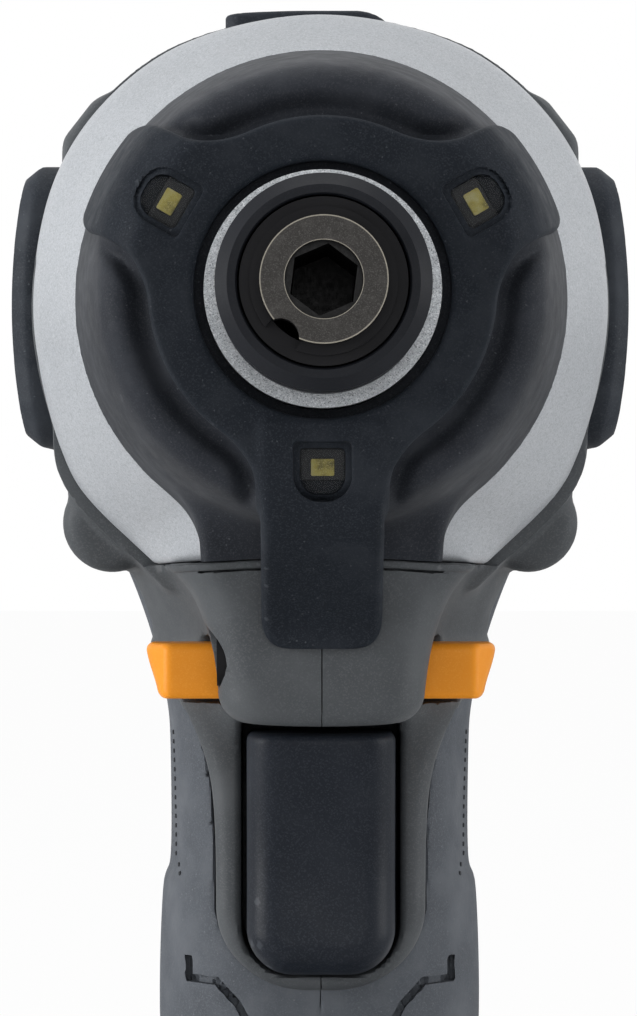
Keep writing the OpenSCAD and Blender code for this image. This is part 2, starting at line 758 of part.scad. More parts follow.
// Nose: a rubber boot over the case, with the lamp ring let into its front
function dome_points(out) = [[ring_band_d / 2 - ring_t, boot_y - out], [ring_band_d / 2, boot_y - out],
    [boot_rim_d / 2 + out / 2, boot_y + boot_rim_drop - out],
    [boot_shoulder_d / 2 + out, boot_y + boot_shoulder_drop - out / 2], [boot_d / 2 + out, boot_end_y]];
function turned_back(points) = [for (i = [len(points) - 1 : -1 : 0]) points[i]];
module dome_solid(out) turned(concat([[0, boot_y - out]], dome_points(out), [[0, boot_end_y]]));
arm_proud = 0.8;
arm_sink = 1.5;
arm_end_gap = 4.5;
// The lamp ring's arms lie along the boot, a little proud of it
module lamp_arms(grow) intersection() {
    turned(concat(dome_points(arm_proud + 4 * grow), turned_back(dome_points(-arm_sink - grow))));
    for (a = [lobe_angle, 180 - lobe_angle]) at_angle(a) translate([lobe_end_r / 2 + grow, 0, 0])
        plate_xz(ring_y0, boot_end_y - arm_end_gap + grow)
            rounded(lobe_end_r, lobe_w + 2 * grow, lobe_corner_r);
}
module nose_boot() color([0.25, 0.27, 0.3]) difference() {
    union() {
        dome_solid(0);
        intersection() {
            plate_xz(boot_end_y - skirt_len, boot_end_y) polygon([
                [-skirt_top_w / 2, skirt_h - chin_top], [skirt_top_w / 2, skirt_h - chin_top],
                [skirt_w / 2, seat - chin_top], [-skirt_w / 2, seat - chin_top]]);
            rod(0, boot_end_y, 2 * chin_top);
        }
    }
    turned([[0, boot_y - cut], [nose_d / 2 + seat, boot_y - cut], [nose_d / 2 + seat, cone_y],
        [case_cone_d / 2 + seat, cone_end_y], [case_d / 2 + seat, bulge_y],
        [case_d / 2 + seat, boot_end_y + cut], [0, boot_end_y + cut]]);
    lamp_arms(seat);
}
// Front and back lines of the tongue: shares of the reach back to the chin and of the drop below the axis
tongue_front_shares = [[0, 0.37], [0, 0.48], [0.05, 0.56], [0.18, 0.675], [0.6, 0.83], [0.86, 0.935],
    [0.915, 1]];
tongue_back_shares = [[0.99, 1], [0.99, 0.9], [0.72, 0.79], [0.36, 0.67], [0.24, 0.37]];
module tongue() difference() {
    plate_yz(-tongue_w / 2, tongue_w / 2) polygon([for (p = concat(tongue_front_shares, tongue_back_shares))
        [ring_y0 + (chin_front_y - ring_y0) * p[0], -tongue_bottom * p[1]]]);
    dome_solid(seat);
}
module lamp_places() for (a = lamp_angles) at_angle(a) translate([lamp_radius, 0, 0]) children();
module lamp_ring() color([0.15, 0.17, 0.2]) difference() {
    union() {
        tube(ring_y0, boot_y - seat, ring_band_d, ring_bore_d);
        lamp_places() block(-window_h, window_h / 2 + arm_proud, ring_y0 + lens_setback / 2, boot_y - seat,
            -window_w / 2 - arm_proud, window_w / 2 + arm_proud);
        lamp_arms(0);
        tongue();
    }
    rod(ring_y0 - cut, boot_y, ring_bore_d);
    lamp_board_shape(seat, cut);
    lamp_places() block(-window_h / 2, window_h / 2, ring_y0 - cut, lamp_board_y,
        -window_w / 2, window_w / 2);
}
lamp_board_r = (ring_bore_d + ring_band_d) / 4;
module lamp_board_shape(grow, overrun) {
    tube(lamp_board_y - grow, lamp_board_y + lamp_board_t + overrun,
        2 * lamp_board_r + lamp_board_w + 2 * grow, 2 * lamp_board_r - lamp_board_w - 2 * grow);
    lamp_places() block(lamp_board_r - lamp_radius, chip_w / 2 + grow, lamp_board_y - grow,
        lamp_board_y + lamp_board_t + overrun, -lamp_tab_w / 2 - grow, lamp_tab_w / 2 + grow);
}
module lamp_board() color("white") lamp_board_shape(0, 0);
module lamp_chips() color("yellow") lamp_places()
    block(-chip_w / 2, chip_w / 2, chip_y, lamp_board_y, -chip_w / 2, chip_w / 2);
module lamp_lenses() color("ivory") lamp_places() block(seat - window_h / 2, window_h / 2 - seat, lens_y,
    lens_y + lens_t, seat - window_w / 2, window_w / 2 - seat);

// Silver shroud behind the boot, with wings down to the chin
module silver_shroud() color("silver") difference() {
    room_r = case_d / 2 + seat;
    wall_r = max(room_r, shroud_d / 2 - shroud_wall);
    union() {
        turned([[0, shroud_y], [boot_d / 2, shroud_y], [shroud_d / 2, shroud_y + shroud_cone_len],
            [shroud_d / 2, shroud_end_y], [0, shroud_end_y]]);
        plate_xz(shroud_y, shroud_end_y) polygon([[wing_inner_x, 0], [wing_top_x, -wing_top_z],
            [wing_corner_x, seat - chin_top], [-wing_corner_x, seat - chin_top], [-wing_top_x, -wing_top_z],
            [-wing_inner_x, 0]]);
    }
    turned([[0, shroud_y - cut], [room_r, shroud_y - cut], [room_r, shroud_y + shroud_rib_len],
        [wall_r, shroud_y + shroud_cone_len], [wall_r, shroud_end_y + cut], [0, shroud_end_y + cut]]);
    block(-shroud_d, shroud_d, 0, body_len, -shroud_d, seat - chin_top);
}

// Handle: rings of a rounded square, drawn in by an inset
function signed_power(v) = sign(v) * pow(abs(v), 2 / squareness);
function handle_ring(row, inset) = [for (k = [0 : ring_points - 1]) let (t = 360 * k / ring_points)
    [(handle_w / 2 * row[2] - inset) * signed_power(cos(t)),
    handle_y + handle_depth * row[1] + (handle_depth / 2 * row[3] - inset) * signed_power(sin(t)),
    -grip_drop * row[0]]];
module handle_loft(inset) {
    n = ring_points;
    last = len(handle_shares) - 1;
    sides = [for (i = [0 : last - 1], j = [0 : n - 1])
        let (k = (j + 1) % n, a = i * n + j, b = i * n + k, c = a + n, d = b + n)
        each [[a, b, d], [a, d, c]]];
    polyhedron([for (row = handle_shares) each handle_ring(row, inset)],
        concat(sides, [[for (j = [n - 1 : -1 : 0]) j]], [[for (j = [0 : n - 1]) last * n + j]]));
}

// Outer forms of the housing
module barrel() turned([[0, barrel_y], [barrel_d / 2, barrel_y], [barrel_d / 2, tail_y],
    [tail_d / 2, body_len - tail_round_len], [tail_end_d / 2, body_len], [0, body_len]]);
module boss(at, r) mirrored_x() translate([at[0], 0, at[1]]) {
    rod(barrel_y, barrel_y + boss_len, 2 * r);
    along_y(barrel_y + boss_len) cylinder(h = r, d1 = 2 * r, d2 = r);
}
module chin(inset) intersection() {
    plate_xz(chin_front_y + inset, chin_front_y + chin_len) polygon([for (s = [1, -1]) each let (
        side = [[chin_top_w, chin_top + inset], [chin_mid_w, chin_mid], [chin_bottom_w, chin_bottom - inset]])
        [for (i = [0 : 2]) let (p = side[s > 0 ? i : 2 - i]) [s * (p[0] / 2 - inset), -p[1]]]]);
    plate_xy(-chin_bottom, -chin_top) translate([0, chin_front_y + chin_len])
        rounded(chin_top_w - 2 * inset, 2 * (chin_len - inset), chin_round_r);
}
cheek_top = chin_bottom - 2 * wall;
module cheeks() plate_xz(cheek_front_y, cheek_front_y + cheek_len)
    translate([0, -(cheek_top + cheek_bottom) / 2])
        rounded(cheek_w, cheek_bottom - cheek_top, trigger_corner_r);
module foot() plate_xy(-foot_bottom, -foot_top) translate([0, foot_y + foot_len / 2])
    rounded(foot_w, foot_len, foot_r);
module housing_outer() {
    barrel();
    boss(upper_boss, upper_boss_r);
    boss(lower_boss, lower_boss_r);
    chin(0);
    cheeks();
    foot();
    difference() {
        handle_loft(grip_t);
        block(-pads_w, pads_w, 0, barrel_y, -chin_top, 0);
    }
}

// Room inside the housing
module head_room() {
    room_r = max(barrel_d / 2 - wall, case_d / 2 + seat);
    rib_r = stator_d / 2 + seat;
    stop_y = case_end_y + flange_t + seat;
    boss_y = fan_end_y + fan_gap / 2;
    rib_1 = stack_y + seat;
    rib_2 = stack_end_y - seat - rib_w;
    turned([[0, 0], [case_d / 2 + seat, 0], [case_d / 2 + seat, barrel_y + rib_w], [room_r, barrel_y + rib_w],
        [room_r, stop_y], [rib_r, stop_y], [rib_r, stop_y + rib_w], [room_r, stop_y + rib_w],
        [room_r, rib_1], [rib_r, rib_1], [rib_r, rib_1 + rib_w], [room_r, rib_1 + rib_w],
        [room_r, rib_2], [rib_r, rib_2], [rib_r, rib_2 + rib_w], [room_r, rib_2 + rib_w], [room_r, tail_y],
        [tail_d / 2 - wall, rear_bearing_end_y - tail_round_len], [tail_end_d / 2 - wall, rear_bearing_end_y],
        [rear_boss_d / 2, rear_bearing_end_y], [rear_boss_d / 2, boss_y],
        [motor_bearing_d / 2 + seat, boss_y],
        [motor_bearing_d / 2 + seat, rear_bearing_end_y + seat], [0, rear_bearing_end_y + seat]]);
}
module along_x(x) translate([x, 0, 0]) rotate([0, 90, 0]) children();
module join_screw_room() for (p = screw_places) translate([0, p[0], p[1]]) {
    along_x(-p[2]) cylinder(h = 2 * p[2] - wall, d = screw_d + 2 * run);
    along_x(-pads_w) cylinder(h = pads_w - p[2] + screw_head_t, d = screw_head_d + 2 * slip);
}
module rail_room_cut() {
    block(-rail_w / 2, rail_w / 2, foot_y - cut, terminal_y - seat, -foot_lip_top,
        -foot_cavity_top);
    block(rail_lip_w - rail_w / 2, rail_w / 2 - rail_lip_w, foot_y - cut, terminal_y - seat,
        -foot_bottom - cut, -foot_cavity_top);
    block(-terminal_w / 2 - seat, terminal_w / 2 + seat, terminal_y - 2 * seat,
        terminal_y + terminal_len + seat, -foot_cavity_top - terminal_h - seat,
        -foot_cavity_top + cut + seat);
}
module handle_room() intersection() {
    handle_loft(grip_t + wall);
    block(-pads_w, pads_w, barrel_y + 2 * rib_w, body_len, -foot_cavity_top, 0);
}
module control_room() {
    chin(wall);
    block(-trigger_w / 2 - slip, trigger_w / 2 + slip, cheek_front_y - cut, switch_y,
        -trigger_top - trigger_h - slip, -trigger_top + slip);
    block(-switch_w / 2 - seat, switch_w / 2 + seat, switch_y - seat, switch_y + switch_len + seat,
        -switch_top - switch_h - seat, -switch_top + seat);
    block(-pads_w, pads_w, selector_y - selector_depth / 2 - slip, selector_y + selector_depth / 2 + slip,
        selector_z - selector_h / 2 - slip, selector_z + selector_h / 2 + slip);
    mirrored_x() translate([0, insert_y, insert_z]) along_x(foot_w / 2 - insert_len - seat)
        cylinder(h = insert_len + cut, d = insert_d + 2 * run);
}

// Ribs and bosses that stand in from the walls
module seat_ribs() mirrored_x() {
    block(switch_w / 2 + seat, switch_w / 2 + seat_rib_len, handle_y - seat_rib_w, handle_y + seat_rib_w,
        -switch_top - switch_h, -switch_top);
    block(module_w / 2 + seat, module_w / 2 + seat_rib_len - cut, module_y, module_y + module_t,
        -module_top - module_h, -module_top);
}
seat_rib_len = 5.5;
module join_bosses() for (p = screw_places) translate([0, p[0], p[1]]) along_x(-p[2])
    cylinder(h = 2 * p[2], d = join_boss_d);
module housing() difference() {
    union() {
        difference() {
            housing_outer();
            head_room();
            handle_room();
            control_room();
            rail_room_cut();
            boss_ears(seat);
        }
        seat_ribs();
        join_bosses();
    }
    join_screw_room();
}
module left_side() block(-pads_w, 0, -cut, body_len + cut, -2 * grip_drop, pads_w);
module right_side() block(0, pads_w, -cut, body_len + cut, -2 * grip_drop, pads_w);
module housing_left() color([0.35, 0.37, 0.4]) intersection() {
    housing();
    left_side();
}
module housing_right() color([0.35, 0.37, 0.4]) intersection() {
    housing();
    right_side();
}
module housing_screws() color("black") for (p = screw_places) translate([0, p[0], p[1]]) {
    along_x(-p[2]) cylinder(h = screw_head_t, d = screw_head_d);
    along_x(-p[2]) cylinder(h = 2 * p[2] - 2 * wall, d = screw_d);
}

// Rubber pads, bumper and grips
module side_pad() difference() {
    intersection() {
        plate_yz(0, pads_w / 2) translate([pad_y + pad_len / 2, 0]) rounded(pad_len, pad_h, pad_corner_r);
        translate([pads_w / 2 - pad_curve_r, 0, 0]) rod(0, body_len, 2 * pad_curve_r);
    }
    rod(0, body_len, barrel_d + 2 * seat);
    boss(upper_boss, upper_boss_r + seat);
    boss(lower_boss, lower_boss_r + seat);
}
pad_corner_r = 6;
module side_pad_right() color("black") side_pad();
module side_pad_left() color("black") mirror([1, 0, 0]) side_pad();
module top_bumper() color("black") difference() {
    plate_xz(bumper_y, bumper_y + bumper_len) translate([bumper_shift, 0]) polygon([[-bumper_w / 2, 0],
        [-bumper_w / 2, bumper_top - bumper_bevel / 2], [bumper_bevel / 2 - bumper_w / 2, bumper_top],
        [bumper_w / 2 - bumper_bevel, bumper_top], [bumper_w / 2, bumper_top - bumper_bevel],
        [bumper_w / 2, 0]]);
    rod(0, body_len, barrel_d + 2 * seat);
}
module grips() difference() {
    intersection() {
        handle_loft(0);
        block(-pads_w, pads_w, 0, body_len, -grip_bottom, -grip_top);
    }
    handle_loft(grip_t - seat);
    block(-cheek_w / 2 - seat, cheek_w / 2 + seat, 0, cheek_front_y + cheek_len, -cheek_bottom - seat, 0);
}
module grip_left() color("dimgray") intersection() {
    grips();
    left_side();
}
module grip_right() color("dimgray") intersection() {
    grips();
    right_side();
}

// Trigger, its spring and the switch
module trigger() color("black") intersection() {
    plate_xz(trigger_front_y, trigger_end_y) translate([0, -trigger_top - trigger_h / 2])
        rounded(trigger_w, trigger_h, trigger_corner_r);
    difference() {
        plate_xy(-trigger_top - trigger_h, -trigger_top) translate([0, trigger_front_y + trigger_depth])
            rounded(trigger_w, 2 * trigger_depth, trigger_round_r);
        translate([-trigger_w, trigger_front_y - finger_r + finger_depth,
            -trigger_top - trigger_h * finger_share])
            rotate([0, 90, 0]) cylinder(h = 2 * trigger_w, r = finger_r);
    }
}
finger_r = 40;
finger_depth = 1.6;
finger_share = 0.55;
plunger_in = 2;
module switch_plunger() color("white") translate([0, 0, plunger_z])
    rod(trigger_end_y, switch_y + plunger_in, plunger_d);
module trigger_spring() color("gray") translate([0, 0, plunger_z])
    coil_spring(trigger_end_y + run, switch_y - run, trigger_spring_d, trigger_spring_wire,
        trigger_spring_turns);
module trigger_switch() color("black") {
    difference() {
        block(-switch_w / 2, switch_w / 2, switch_y, switch_y + switch_len,
            -switch_top - switch_h, -switch_top);
        translate([0, 0, plunger_z])
            rod(switch_y - cut, switch_y + plunger_in + trigger_travel + axial_gap, plunger_d + 2 * run);
    }
    translate([0, lever_y, -switch_top - cut])
        cylinder(h = lever_z + lever_t + switch_top + cut, d = lever_pin_d);
}

// Direction selector and the lever that it swings
lever_z = selector_z - lever_t / 2;
module selector() color("orange") difference() {
    union() {
        intersection() {
            plate_yz(-selector_len / 2, selector_len / 2) translate([selector_y, selector_z])
                rounded(selector_depth, selector_h, selector_corner_r);
            plate_xy(selector_z - selector_h, selector_z + selector_h) translate([0, selector_y])
                rounded(selector_len, selector_depth, selector_corner_r);
        }
        block(-fork_w, fork_w, selector_y, selector_y + selector_depth / 2 + fork_len,
            selector_z - selector_neck_h / 2, selector_z + selector_neck_h / 2);
        block(-selector_stop_x, selector_stop_x, selector_y - selector_depth / 2,
            selector_y + selector_depth / 2, selector_z, selector_z + selector_h / 2 + selector_stop_rise);
    }
    block(-lever_w / 2 - axial_gap, lever_w / 2 + axial_gap,
        selector_y + selector_depth / 2 - lever_w / 2 - slip, selector_y + selector_depth + fork_len,
        selector_z - selector_h, selector_z + selector_h);
}
selector_corner_r = 1.8;
selector_stop_rise = 1.2;
// Half width of the chin at a drop below the axis, and the selector's stops inside it
function chin_half(drop) = (chin_mid_w + (chin_top_w - chin_mid_w) * (chin_mid - drop)
    / (chin_mid - chin_top)) / 2;
selector_stop_x = chin_half(-selector_z - selector_h / 2 - slip) - wall - selector_travel - slip;
module reverse_lever() color("white") difference() {
    union() {
        translate([0, lever_y, lever_z]) cylinder(h = lever_t, d = lever_d);
        block(-lever_stem_w / 2, lever_stem_w / 2, lever_y - lever_arm, lever_y, lever_z, lever_z + lever_t);
        translate([0, lever_y - lever_arm, lever_z]) cylinder(h = lever_t, d = lever_w);
    }
    translate([0, lever_y, lever_z - cut]) cylinder(h = lever_t + 2 * cut, d = lever_pin_d + 2 * run);
}
lever_stem_w = 1.6;

// Electrics in the grip and foot
module control_board() color("darkslategray") block(-module_w / 2, module_w / 2, module_y,
    module_y + module_t, -module_top - module_h, -module_top);
module blade_places() for (k = [0 : blade_count - 1])
    translate([(k - (blade_count - 1) / 2) * blade_pitch, 0, -foot_cavity_top - terminal_h / 2]) children();
module terminal_block() color("black") difference() {
    block(-terminal_w / 2, terminal_w / 2, terminal_y, terminal_y + terminal_len,
        -foot_cavity_top - terminal_h, -foot_cavity_top);
    blade_places() block(-blade_t / 2, blade_t / 2, terminal_y - cut, terminal_y + terminal_len / 2,
        -blade_w / 2, blade_w / 2);
}
module terminal_blades() color("gold") blade_places() block(-blade_t / 2, blade_t / 2, terminal_y - blade_len,
    terminal_y + terminal_len / 2, -blade_w / 2, blade_w / 2);
module hook_inserts() color("gold") mirrored_x() translate([0, insert_y, insert_z])
    along_x(foot_w / 2 - insert_len) difference() {
        cylinder(h = insert_len, d = insert_d);
        translate([0, 0, -cut]) cylinder(h = insert_len + 2 * cut, d = insert_bore_d);
    }

// Battery pack: tub, lid with a rail, cells, contacts and two release buttons
module pack_outline(inset) translate([0, pack_front_y + pack_len / 2])
    rounded(pack_w - 2 * inset, pack_len - 2 * inset, pack_corner_r - inset);
pack_screw_x = pack_w / 2 - pack_wall - pack_side_gap / 2;
module pack_screw_places() for (y = [pack_front_y + pack_screw_inset, pack_end_y - pack_screw_inset])
    mirrored_x() translate([pack_screw_x, y, 0]) children();
module pack_screw_holes() pack_screw_places() {
    translate([0, 0, -pack_bottom])
        cylinder(h = pack_bottom - tub_top + pack_screw_bite + seat, d = pack_screw_d + 2 * run);
    translate([0, 0, -pack_bottom - cut]) cylinder(h = pack_head_t + seat + cut, d = pack_head_d + 2 * run);
}
module pack_tub() color("black") difference() {
    union() {
        difference() {
            plate_xy(-pack_bottom, -tub_top) pack_outline(0);
            plate_xy(pack_wall - pack_bottom, cut - tub_top) pack_outline(pack_wall);
        }
        pack_screw_places() translate([0, 0, -pack_bottom + pack_wall / 2])
            cylinder(h = pack_bottom - tub_top - pack_wall / 2, d = pack_boss_d);
    }
    pack_screw_holes();
}
rail_neck_x = rail_w / 2 - rail_lip_w - rail_neck_gap;
module rail() {
    block(slip - rail_w / 2, rail_w / 2 - slip, rail_front_y, rail_end_y, slip - foot_lip_top,
        -foot_cavity_top - slip);
    block(-rail_neck_x, rail_neck_x, rail_front_y, rail_end_y, -lid_top - pack_wall / 2,
        -foot_cavity_top - slip);
}
contact_x = blade_t / 2 + slip;
contact_end_y = rail_end_y - blade_len;
module contact_slots() blade_places() block(-contact_x - contact_t - seat, contact_x + contact_t + seat,
    contact_end_y - seat, rail_end_y + cut, -blade_w / 2 - slip, blade_w / 2 + slip);
module pack_lid() color("dimgray") difference() {
    union() {
        difference() {
            plate_xy(-tub_top, -lid_top) pack_outline(0);
            plate_xy(-tub_top - cut, -lid_top - pack_wall) pack_outline(pack_wall);
        }
        rail();
        pack_screw_places() translate([0, 0, -tub_top]) cylinder(h = lid_t - pack_wall / 2, d = pack_boss_d);
    }
    block(pack_wall - rail_neck_x, rail_neck_x - pack_wall, rail_front_y + pack_wall,
        contact_end_y - pack_wall, -tub_top - cut, -foot_cavity_top - slip - pack_wall);
    contact_slots();
    pack_screw_holes();
    mirrored_x() {
        button_cap(slip, cut);
        latch_post(slip, release_travel, cut);
    }
}
module pack_cells() color("teal") for (k = [0 : cell_count - 1])
    translate([0, pack_front_y + pack_wall + pack_end_gap + (cell_d + cell_gap) * (k + 0.5), cell_z])
        along_x(-cell_len / 2) cylinder(h = cell_len, d = cell_d);
module pack_contacts() color("gold") blade_places() mirrored_x()
    block(contact_x, contact_x + contact_t, contact_end_y, rail_end_y - slip, -contact_w / 2, contact_w / 2);
module pack_screws() color("silver") pack_screw_places() {
    translate([0, 0, seat - pack_bottom]) cylinder(h = pack_head_t, d = pack_head_d);
    translate([0, 0, seat - pack_bottom])
        cylinder(h = pack_bottom - tub_top + pack_screw_bite - seat, d = pack_screw_d);
}
button_y = pack_front_y + button_front;
button_z = -(lid_top + button_drop);
module button_cap(grow, overrun) block(pack_w / 2 - pack_wall - button_flange, pack_w / 2 + overrun,
    button_y - grow, button_y + button_len + grow, button_z - button_h - grow, button_z + grow);
flange_x = pack_w / 2 - pack_wall - seat;
module latch_post(grow, travel, overrun) block(flange_x - button_flange - grow - travel, flange_x + grow,
    button_y + button_len / 2 - latch_w / 2 - grow, button_y + button_len / 2 + latch_w / 2 + grow,
    button_z, overrun - lid_top);
module release_button() {
    button_cap(0, 0);
    block(flange_x - button_flange, flange_x, button_y - pack_wall, button_y + button_len + pack_wall,
        button_z - button_h, button_z);
    latch_post(0, 0, 0);
}
module release_right() color("red") release_button();
module release_left() color("red") mirror([1, 0, 0]) release_button();

// Stand the pack on the ground, with the head centred over the origin
module place() translate([0, -body_len / 2, axis_h]) children();

place() anvil();
place() anvil_bush();
place() thrust_washer();
place() bit_collar();
place() collar_spring();
place() collar_washer();
place() collar_clip();
place() detent_ball();
place() impact_case();
place() silver_shroud();
place() nose_boot();
place() lamp_ring();
place() lamp_board();
place() lamp_chips();
place() lamp_lenses();
place() hammer();
place() hammer_spring();
place() cam_balls();
place() spindle();
place() planet_gear(0);  // planet_gear_1
place() planet_gear(1);  // planet_gear_2
place() planet_gear(2);  // planet_gear_3
place() planet_pins();
place() ring_gear();
place() spindle_bearing();
place() gear_plate();
place() stator();
place() stator_coils();
place() rotor();
place() rotor_shaft();
place() fan();
place() front_bearing();
place() rear_bearing();
place() motor_board();
place() housing_left();
place() housing_right();
place() housing_screws();
place() side_pad_left();
place() side_pad_right();
place() top_bumper();
place() grip_left();
place() grip_right();
place() trigger();
place() trigger_switch();
place() switch_plunger();
place() trigger_spring();
place() selector();
place() reverse_lever();
place() control_board();
place() terminal_block();
place() terminal_blades();
place() hook_inserts();
place() pack_tub();
place() pack_lid();
place() pack_cells();
place() pack_contacts();
place() pack_screws();
place() release_left();
place() release_right();
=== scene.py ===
"""Dressed impact driver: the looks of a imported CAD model, in metres and in the same frame.

Outer pieces are drawn as fields: functions that give the distance in millimetres from a point to
the surface, negative inside. Fields are joined with round or bevelled edges and then meshed.
Fields use the tool's own frame: x to the right, y back from the bit tip, z up from the drive axis.
"""
import math

import bpy
import numpy as np
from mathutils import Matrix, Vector

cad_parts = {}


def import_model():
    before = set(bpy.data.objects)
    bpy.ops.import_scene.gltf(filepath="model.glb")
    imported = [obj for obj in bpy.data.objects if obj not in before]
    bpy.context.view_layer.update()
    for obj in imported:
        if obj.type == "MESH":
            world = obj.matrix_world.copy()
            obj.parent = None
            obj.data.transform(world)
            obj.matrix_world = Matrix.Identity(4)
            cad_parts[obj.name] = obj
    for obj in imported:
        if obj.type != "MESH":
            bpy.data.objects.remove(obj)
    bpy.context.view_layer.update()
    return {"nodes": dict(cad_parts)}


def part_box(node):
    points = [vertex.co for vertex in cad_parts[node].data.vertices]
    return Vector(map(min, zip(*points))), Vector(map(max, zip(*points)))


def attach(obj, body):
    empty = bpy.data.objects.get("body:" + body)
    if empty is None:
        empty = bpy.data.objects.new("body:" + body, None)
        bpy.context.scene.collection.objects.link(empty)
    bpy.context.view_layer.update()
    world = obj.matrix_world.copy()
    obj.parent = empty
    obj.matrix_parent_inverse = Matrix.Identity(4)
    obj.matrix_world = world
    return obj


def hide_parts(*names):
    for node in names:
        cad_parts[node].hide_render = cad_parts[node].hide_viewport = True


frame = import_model()

MM = 0.001


# Places taken from the frame
def placed_box(node):
    """Lowest and highest corner of a CAD node in millimetres, in the frame of the model."""
    low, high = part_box(node)
    return np.array(low) / MM, np.array(high) / MM


ANVIL_LOW, ANVIL_HIGH = placed_box("anvil")
ORIGIN = np.array([0, ANVIL_LOW[1], (ANVIL_LOW[2] + ANVIL_HIGH[2]) / 2])


def box_of(node):
    """Lowest and highest corner of a CAD node in millimetres, in the tool's frame."""
    low, high = placed_box(node)
    return low - ORIGIN, high - ORIGIN


# Fields: joining and shaping
def both(a, b, r=0.0):
    """Common part of two fields, its edge rounded by r."""
    if not r:
        return np.maximum(a, b)
    u = np.maximum(a + r, 0)
    v = np.maximum(b + r, 0)
    return np.minimum(np.maximum(a, b), -r) + np.hypot(u, v)


def either(a, b, r=0.0):
    """Union of two fields, its corner filled by r."""
    return -both(-a, -b, r)


def without(a, b, r=0.0):
    """Field a with b cut away, the edge rounded by r."""
    return both(a, -b, r)


def soft_either(a, b, k):
    """Union of two fields that flow into each other over a reach of k."""
    h = np.maximum(k - np.abs(a - b), 0) / k
    return np.minimum(a, b) - h * h * k / 4


def bevelled(a, b, c):
    """Common part of two fields, its edge cut flat by c."""
    return np.maximum(np.maximum(a, b), (a + b + c) * math.sqrt(0.5))


def between(v, low, high):
    """Field of a slab across one axis."""
    return np.abs(v - (low + high) / 2) - (high - low) / 2


def rect(u, v, w, h, r):
    """Field of a rectangle about the origin with corners of radius r."""
    return both(np.abs(u) - w / 2, np.abs(v) - h / 2, r)


def polygon(u, v, points):
    """Field of a closed outline."""
    nearest = np.full(np.shape(u), np.inf)
    sign = np.ones(np.shape(u))
    for (ax, ay), (bx, by) in zip(points, [points[-1], *points[:-1]]):
        ex, ey = bx - ax, by - ay
        wx, wy = u - ax, v - ay
        t = np.clip((wx * ex + wy * ey) / (ex * ex + ey * ey), 0, 1)
        nearest = np.minimum(nearest, (wx - ex * t) ** 2 + (wy - ey * t) ** 2)
        above, below, left = v >= ay, v < by, ex * wy > ey * wx
        sign = np.where((above & below & left) | ~(above | below | left), -sign, sign)
    return sign * np.sqrt(nearest)


def to_line(u, v, points):
    """Distance to an open line."""
    nearest = np.full(np.shape(u), np.inf)
    for (ax, ay), (bx, by) in zip(points, points[1:]):
        ex, ey = bx - ax, by - ay
        t = np.clip(((u - ax) * ex + (v - ay) * ey) / (ex**2 + ey**2), 0, 1)
        nearest = np.minimum(nearest, np.hypot(u - ax - t * ex, v - ay - t * ey))
    return nearest


def turned(p, points):
    """Field of a solid of revolution about the drive axis, from points of radius and place along it."""
    return polygon(np.hypot(p[0], p[2]), p[1], points)


def at_angle(p, degrees):
    """The point seen from an arm that stands at that angle about the drive axis."""
    a = math.radians(degrees)
    c, s = math.cos(a), math.sin(a)
    return c * p[0] + s * p[2], p[1], c * p[2] - s * p[0]


def smooth_line(rows, steps):
    """Rows of numbers, refined along a curve that runs through each of them."""
    rows = np.array(rows, float)
    padded = np.vstack([2 * rows[0] - rows[1], rows, 2 * rows[-1] - rows[-2]])
    t = np.linspace(0, 1, steps, endpoint=False)[:, None]
    fine = []
    for a, b, c, d in zip(padded, padded[1:], padded[2:], padded[3:]):
        fine.append(b + (c - a) / 2 * t + (a - 2.5 * b + 2 * c - d / 2) * t**2
                    + (1.5 * (b - c) + (d - a) / 2) * t**3)
    return np.vstack([*fine, rows[-1:]])


def follow(v, rows, column):
    """Value in a column of rows, by the rising first column."""
    return np.interp(v, rows[:, 0], rows[:, column])


def eased(v, low, high):
    """A step from 0 to 1 between low and high, with soft ends."""
    t = np.clip((v - low) / (high - low), 0, 1)
    return t * t * (3 - 2 * t)


# Meshing of a field
BLOCK = 6
NEAR_SHARE = 1.5
# Room round a piece, of a size that keeps flat faces off the planes of the grid
MARGIN = 0.73
CORNERS = [(0, 0), (1, 0), (1, 1), (0, 1)]
PROBE = 0.02
LEAST_SLOPE = 0.05
HOLD = 0.03
MOST_MOVE_SHARE, MOST_DRAW_SHARE = 0.8, 0.25
CREASE, TURNED_CREASE = 40, 25


def sampled(field, axes, step):
    """The field on a grid, worked out in full only in the blocks that lie near the surface."""
    middles = [a.reshape(-1, BLOCK).mean(1) for a in axes]
    coarse = field(np.meshgrid(*middles, indexing="ij"))
    near = np.abs(coarse) < NEAR_SHARE * BLOCK * step
    values, mask = coarse, near
    for axis in range(3):
        values = np.repeat(values, BLOCK, axis)
        mask = np.repeat(mask, BLOCK, axis)
    spots = np.nonzero(mask)
    values[spots] = field([a[i] for a, i in zip(axes, spots)])
    return values


def slope(field, points):
    """How the field changes at points along each axis."""
    g = np.empty_like(points)
    for axis in range(3):
        offset = np.zeros(3)
        offset[axis] = PROBE
        g[:, axis] = (field((points + offset).T) - field((points - offset).T)) / (2 * PROBE)
    return g


def gradient(field, points):
    """Unit normals of the field at points."""
    g = slope(field, points)
    return g / np.maximum(np.linalg.norm(g, axis=1, keepdims=True), 1e-9)


def drawn_on(field, points, most):
    """Points moved onto the surface, by no more than that distance."""
    g = slope(field, points)
    share = field(points.T) / np.maximum((g * g).sum(1), LEAST_SLOPE)
    return points - np.clip(share[:, None] * g, -most, most)


